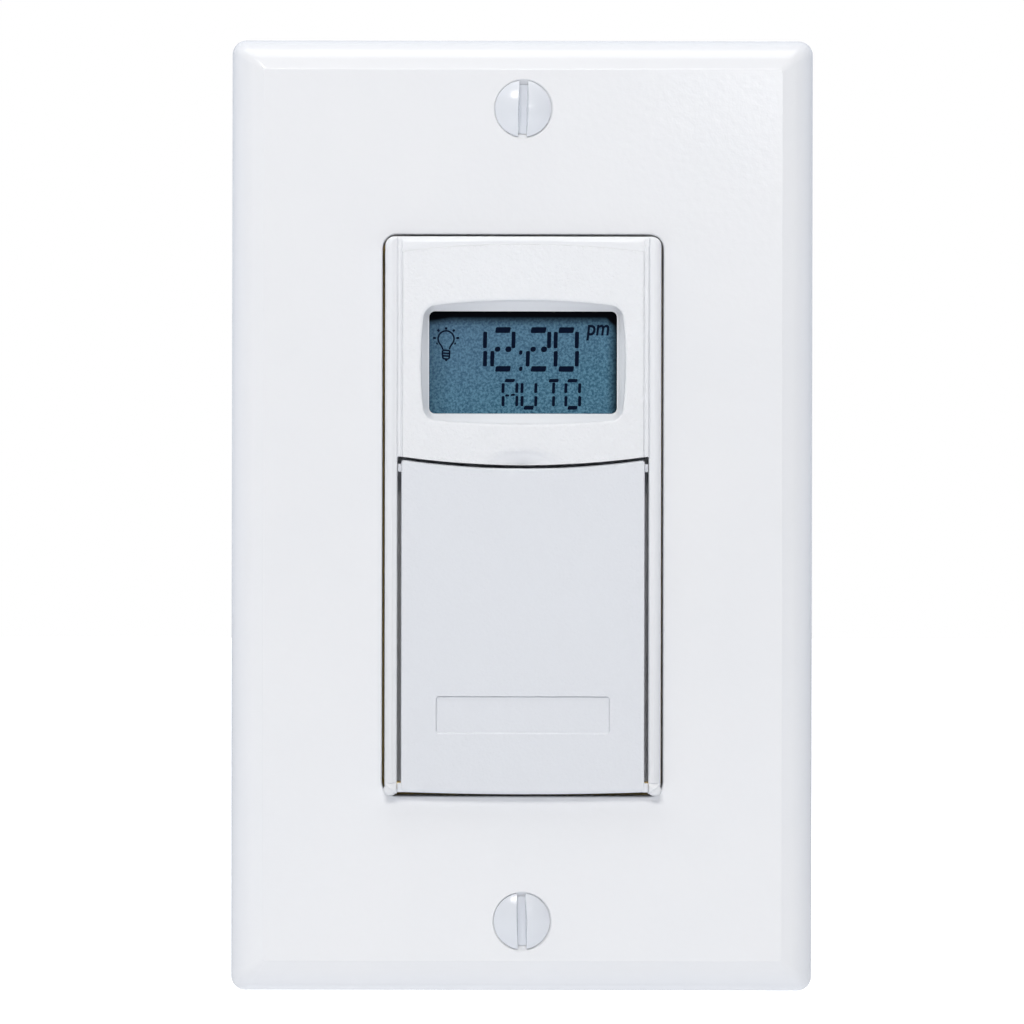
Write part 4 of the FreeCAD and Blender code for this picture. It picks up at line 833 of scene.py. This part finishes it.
def keyCap(key):
    x, z, halfX, halfZ, top = (key[k] for k in ("x", "z", "halfX", "halfZ", "top"))

    def ring(grow, y):
        wide, tall = halfX + grow, halfZ + grow
        corner = max(key["corner"] + grow, 0.15)
        return y, outline(x - wide, x + wide, z - tall, z + tall, corner, corner=6, side=6)

    r, flange, back, front = (capShape[k] for k in ("stem", "flange", "flangeBack", "flangeFront"))
    stem = outline(x - r, x + r, z - r, z + r, r - 0.001, corner=6, side=6)
    rings = [(capShape["stemEnd"], stem), (back, stem), ring(flange, back), ring(flange, front)]
    rings += [ring(0, front), ring(0, top + capShape["straight"])]
    for angle in arcSteps(4):
        rings.append(ring(
            -capShape["round"] * (1 - math.cos(angle)), top + capShape["round"] * (1 - math.sin(angle))))
    full = capShape["dips"][-1]
    for share in capShape["dips"]:
        depth = key["dip"] * math.sin(share / full * math.pi / 2) ** 2
        rings.append(ring(-min(halfX, halfZ) * share, top + depth))
    return stack(rings)


def curveShape(curve):
    # the curve as a mesh, and the curve is gone
    obj = bpy.data.objects.new("curve", curve)
    scene.collection.objects.link(obj)
    bpy.context.view_layer.update()
    mesh = bpy.data.meshes.new_from_object(obj.evaluated_get(bpy.context.evaluated_depsgraph_get()))
    bpy.data.objects.remove(obj)
    bpy.data.curves.remove(curve)
    bm = bmesh.new()
    bm.from_mesh(mesh)
    bpy.data.meshes.remove(mesh)
    return bm


def word(text, size, x, y, z, thick=0.02, lean=0.0, bold=0.0):
    # flat letters facing the front, centred at x and z
    curve = bpy.data.curves.new(text, "FONT")
    curve.body, curve.size, curve.shear, curve.offset = text, size, lean, bold
    curve.align_x, curve.align_y = "CENTER", "CENTER"
    curve.extrude = thick
    curve.resolution_u = 4
    bm = curveShape(curve)
    bmesh.ops.transform(
        bm, matrix=Matrix.Translation((x, y, z)) @ Matrix.Rotation(math.pi / 2, 4, "X"), verts=bm.verts)
    bmesh.ops.remove_doubles(bm, verts=bm.verts, dist=1e-4)
    return bm


smallKey = {"z": 0.6, "halfX": 3.0, "halfZ": 2.0, "top": -4.3, "corner": 0.8, "dip": 0.12}
keys = {
    "on_off": {"x": 3.7, "z": -8.06, "halfX": 8.7, "halfZ": 2.6, "top": -4.9, "corner": 0.8, "dip": 0.12,
               "text": "ON/OFF", "size": 2.3},
    "mode": {"x": 0.0, "text": "MODE", "size": 1.3, **smallKey},
    "plus": {"x": 9.2, "text": "+", "size": 3.2, **smallKey},
    "minus": {"x": -9.2, "text": "−", "size": 3.2, **smallKey},
    "reset": {"x": -10.6, "z": -8.06, "halfX": 1.3, "halfZ": 1.3, "top": -3.7, "corner": 1.29, "dip": 0.3},
}
for name, key in keys.items():
    body = f"{name}_key"
    finishPiece(f"{name}Cap", keyCap(key), body, satinKey, [f"{name}_button"])
    if "text" in key:
        legend = word(key["text"], key["size"], key["x"], key["top"] + key["dip"], key["z"])
        finishPiece(f"{name}Legend", legend, body, legendInk, turnOut=False)


print("display marks")
marks = {"y": -5.652, "thick": 0.012, "corner": 0.13}


def mark(bm, x0, x1, z0, z1, lean=0.0, corner=None):
    # one liquid crystal segment; lean moves its top to the right
    corner = marks["corner"] if corner is None else corner
    known = set(bm.verts)
    knownFaces = set(bm.faces)
    size = Matrix.Diagonal((x1 - x0, z1 - z0, 1, 1))
    spot = Matrix.Translation(((x0 + x1) / 2, marks["y"], (z0 + z1) / 2))
    middle = spot @ Matrix.Rotation(math.pi / 2, 4, "X")
    bmesh.ops.create_grid(bm, x_segments=1, y_segments=1, size=0.5, matrix=middle @ size)
    fresh = [v for v in bm.verts if v not in known]
    for vert in fresh:
        vert.co.x += lean * (1 if vert.co.z > (z0 + z1) / 2 else -1)
    bmesh.ops.bevel(
        bm, geom=fresh, offset=corner, segments=2, profile=0.5, affect="VERTICES", material=-1)
    faces = [f for f in bm.faces if f not in knownFaces]
    grown = bmesh.ops.extrude_face_region(bm, geom=faces)["geom"]
    back = [g for g in grown if isinstance(g, bmesh.types.BMVert)]
    bmesh.ops.translate(bm, vec=(0, -marks["thick"], 0), verts=back)


bigCell = {"bar": 0.47, "right": 2.53, "flat": (0.62, 2.4)}
bigLevels = {"top": (21.71, 22.4), "upper": (19.9, 21.86), "lower": (17.72, 19.56), "bottom": (17.1, 17.76)}
bigDigits = ((-7.29, "bc"), (-3.9, "abed"), (0.335, "abed"), (3.65, "abcdef"))
bigMiddle = {"z": 19.77, "dots": ((0.87, 0.33, 0.3), (2.16, 0.36, 0.34)), "digits": (-3.9, 0.335)}
colon = {"x": -0.27, "z": (19.38, 17.44), "half": (0.2, 0.27)}
smallCell = {"bar": 0.36, "right": 1.64, "flat": (0.4, 1.56)}
smallLevels = {
    "top": (15.84, 16.24), "upper": (14.56, 15.74), "lower": (12.98, 14.2), "bottom": (12.58, 13.04),
}
smallLetters = ((-2.55, "abcef"), (-0.29, "bcdef"), (4.93, "abcdef"), (2.69, "a"))
smallStem = {"x": (3.47, 3.82), "levels": ((14.5, 15.8), (12.98, 14.2))}
smallBar = {"spots": ((-1.88, 14.26), (-1.2, 14.34)), "half": (0.24, 0.13)}


def figure(bm, x, parts, cell, levels):
    # parts: a top, b and c right, d bottom, e and f left
    for part in parts:
        if part in "ad":
            z0, z1 = levels["top" if part == "a" else "bottom"]
            mark(bm, x + cell["flat"][0], x + cell["flat"][1], z0, z1, 0.06)
        else:
            z0, z1 = levels["upper" if part in "bf" else "lower"]
            left = x + (cell["right"] if part in "bc" else 0.0)
            mark(bm, left, left + cell["bar"], z0, z1, 0.02)


def dot(bm, x, z, halfX, halfZ):
    mark(bm, x - halfX, x + halfX, z - halfZ, z + halfZ, 0.03, min(halfX, halfZ) * 0.8)


def inkLine(points, width):
    # a thin flat line through points on the display
    curve = bpy.data.curves.new("line", "CURVE")
    curve.dimensions = "3D"
    curve.bevel_depth = width / 2
    curve.bevel_resolution = 1
    spline = curve.splines.new("POLY")
    spline.points.add(len(points) - 1)
    for spot, (x, z) in zip(spline.points, points):
        spot.co = (x, marks["y"], z, 1)
    curve.use_fill_caps = True
    bm = curveShape(curve)
    for vert in bm.verts:
        vert.co.y = marks["y"] + (vert.co.y - marks["y"]) * 0.2
    return bm


ink = bmesh.new()
for x, parts in bigDigits:
    figure(ink, x, parts, bigCell, bigLevels)
for x in bigMiddle["digits"]:  # the two dots in the middle of a 2
    for along, halfX, halfZ in bigMiddle["dots"]:
        dot(ink, x + along, bigMiddle["z"], halfX, halfZ)
for z in colon["z"]:
    dot(ink, colon["x"], z, *colon["half"])
for x, parts in smallLetters:
    figure(ink, x, parts, smallCell, smallLevels)
for z0, z1 in smallStem["levels"]:  # the upright of the T
    mark(ink, *smallStem["x"], z0, z1, 0.02)
for x, z in smallBar["spots"]:  # the bar of the A
    dot(ink, x, z, *smallBar["half"])

# a bulb: a round glass that is open below, a neck, the rungs and sides of its cap, and rays round it
bulb = {
    "x": -9.17, "z": 21.0, "r": 0.95, "open": 48, "neck": ((0.49, 20.05), (0.39, 19.75)), "line": 0.22,
    "rungs": ((19.62, 0.43), (19.28, 0.42), (18.95, 0.4), (18.6, 0.28)), "tilt": 0.03,
    "side": ((0.43, 19.6), (0.4, 18.8), (0.28, 18.6)), "tip": (0.12, 18.44), "ray": 0.3,
    "rays": ((90, 1.1, 1.38), (47, 1.2, 1.5), (133, 1.2, 1.5), (4, 1.22, 1.56), (176, 1.22, 1.56),
             (-28, 1.12, 1.3), (208, 1.12, 1.3)),
}
middle = bulb["x"]
glass = [(middle + bulb["r"] * math.sin(a), bulb["z"] - bulb["r"] * math.cos(a))
         for a in arcSteps(28, bulb["open"], 360 - bulb["open"])]
rightNeck = [(middle + x, z) for x, z in reversed(bulb["neck"])]
leftNeck = [(middle - x, z) for x, z in bulb["neck"]]
lines = [rightNeck + glass + leftNeck]
for z, half in bulb["rungs"]:
    lines.append([(middle - half, z + bulb["tilt"]), (middle + half, z - bulb["tilt"])])
for side in (-1, 1):
    lines.append([(middle + side * x, z) for x, z in bulb["side"]])
half, z = bulb["tip"]
lines.append([(middle - half, z), (middle + half, z)])
rays = []
for angle, inner, outer in bulb["rays"]:
    c, s = math.cos(math.radians(angle)), math.sin(math.radians(angle))
    rays.append([(middle + reach * c, bulb["z"] + reach * s) for reach in (inner, outer)])
strokes = [inkLine(points, bulb["line"]) for points in lines]
strokes += [inkLine(points, bulb["ray"]) for points in rays]
halfDay = {"x": 8.9, "z": 22.25, "size": 2.6, "thick": 0.005, "lean": 0.14, "bold": 0.05, "narrow": 0.83}
letters = word("pm", halfDay["size"], 0, 0, 0, halfDay["thick"], halfDay["lean"], halfDay["bold"])
bmesh.ops.scale(letters, vec=(halfDay["narrow"], 1, 1), verts=letters.verts)
place(letters, halfDay["x"], marks["y"] - 0.004, halfDay["z"])
finishPiece("displayMarks", joined(ink, letters, *strokes), "timer", screenInk, turnOut=False)


print("carried-over pieces")
replaced = {"wall_plate", "plate_screws", "front_housing", "access_door"}
replaced |= {f"{name}_button" for name in keys}
for part in frame["record"]["subparts"]:
    node = part["node"]
    if node in replaced:
        continue
    obj = frame["nodes"][node]
    finish = slotFinish[part["material_slot"]]
    if obj.material_slots:
        for slot in obj.material_slots:
            slot.material = finish.material
    else:
        obj.data.materials.append(finish.material)
    obj.data.polygons.foreach_set("use_smooth", [True] * len(obj.data.polygons))
    weld = obj.modifiers.new("weld", "WELD")
    weld.merge_threshold = 2e-6
    split = obj.modifiers.new("edges", "EDGE_SPLIT")
    split.split_angle = math.radians(30)
    even = obj.modifiers.new("even shading", "WEIGHTED_NORMAL")
    even.keep_sharp = True


print("stage")
# the floor gives off a little light of its own, more towards the camera, so that it is seen as white
stageLook = {
    "floor": -0.12, "size": 8.0, "color": (0.92, 0.92, 0.92, 1), "roughness": 0.9, "bounce": 0.1,
    "seen": 0.85,
}
paleFloor = Finish("paleFloor", stageLook["color"], stageLook["roughness"])
seen = paleFloor.node("ShaderNodeLightPath", out="Is Camera Ray")
levels = {"To Min": stageLook["bounce"], "To Max": stageLook["seen"]}
lift = paleFloor.node("ShaderNodeMapRange", sockets={"Value": seen, **levels})
glow = paleFloor.node("ShaderNodeEmission", sockets={"Strength": lift})
diffuse = Wire(paleFloor, paleFloor.end.outputs[0])
both = paleFloor.node("ShaderNodeAddShader", sockets={0: diffuse, 1: glow})
paleFloor.tree.links.new(both.socket, paleFloor.tree.nodes["Material Output"].inputs["Surface"])
ground = bmesh.new()
bmesh.ops.create_grid(ground, x_segments=1, y_segments=1, size=stageLook["size"] / 2)
bmesh.ops.translate(ground, vec=(0, 0, stageLook["floor"]), verts=ground.verts)
floorMesh = bpy.data.meshes.new("floor")
ground.to_mesh(floorMesh)
ground.free()
floorMesh.materials.append(paleFloor.material)
floor = bpy.data.objects.new("floor", floorMesh)
scene.collection.objects.link(floor)

# the sky lights the object from behind and the sides only, and the camera sees it as white
world = bpy.data.worlds.new("studio")
scene.world = world
world.use_nodes = True
skyLook = {
    "lit": (0.9, 0.97, 1.1, 1), "seen": (1, 1, 1, 1),
    "turn": {"From Min": -0.33, "From Max": 0.05, "To Min": 0.0, "To Max": 0.68},
}
sky = Nodes(world.node_tree, "Background")
way = sky.node("ShaderNodeTexCoord", out="Generated")
inward = sky.node("ShaderNodeSeparateXYZ", sockets={0: way}, out="Y")
strength = sky.node("ShaderNodeMapRange", sockets={"Value": inward, **skyLook["turn"]})
seen = sky.node("ShaderNodeLightPath", out="Is Camera Ray")
sky.set("Strength", sky.node("ShaderNodeMapRange", sockets={"Value": seen, "To Min": strength}))
sky.set("Color", sky.mix(seen, skyLook["lit"], skyLook["seen"]))

lamps = {
    "overLamp": {"at": (-0.2, -0.3, 1.0), "to": (-0.2, -0.3, 0.0), "size": (1.4, 0.58), "watts": 5.75,
                 "color": (1.0, 0.99, 0.985)},
    "keyLamp": {"at": (-0.09, -0.8, 0.6), "to": (0.0, 0.0, 0.0), "size": (0.5, 0.2), "watts": 4.9,
                "color": (1.0, 0.98, 0.945)},
    "sideLamp": {"at": (0.24, -1.0, 0.252), "to": (0.0, 0.0, 0.0), "size": (0.26, 0.1), "watts": 0.46,
                 "color": (1.0, 1.0, 1.0)},
}
for name, lamp in lamps.items():
    light = bpy.data.lights.new(name, "AREA")
    light.shape = "RECTANGLE"
    light.size, light.size_y = lamp["size"]
    light.energy = lamp["watts"]
    light.color = lamp["color"]
    obj = bpy.data.objects.new(name, light)
    obj.location = lamp["at"]
    obj.rotation_euler = (Vector(lamp["to"]) - Vector(lamp["at"])).to_track_quat("-Z", "Y").to_euler()
    scene.collection.objects.link(obj)

view = {
    "at": (-0.009, -0.3733, -0.005), "lens": 108.5, "sensor": 36, "shift": (0.06336, 0.0440), "roll": -0.1,
    "clip": (0.01, 30),
}
camera = bpy.data.cameras.new("camera")
camera.lens, camera.sensor_width = view["lens"], view["sensor"]
camera.shift_x, camera.shift_y = view["shift"]
camera.clip_start, camera.clip_end = view["clip"]
cameraObject = bpy.data.objects.new("camera", camera)
cameraObject.location = view["at"]
cameraObject.rotation_euler = (math.radians(90), math.radians(view["roll"]), 0)
scene.collection.objects.link(cameraObject)
scene.camera = cameraObject
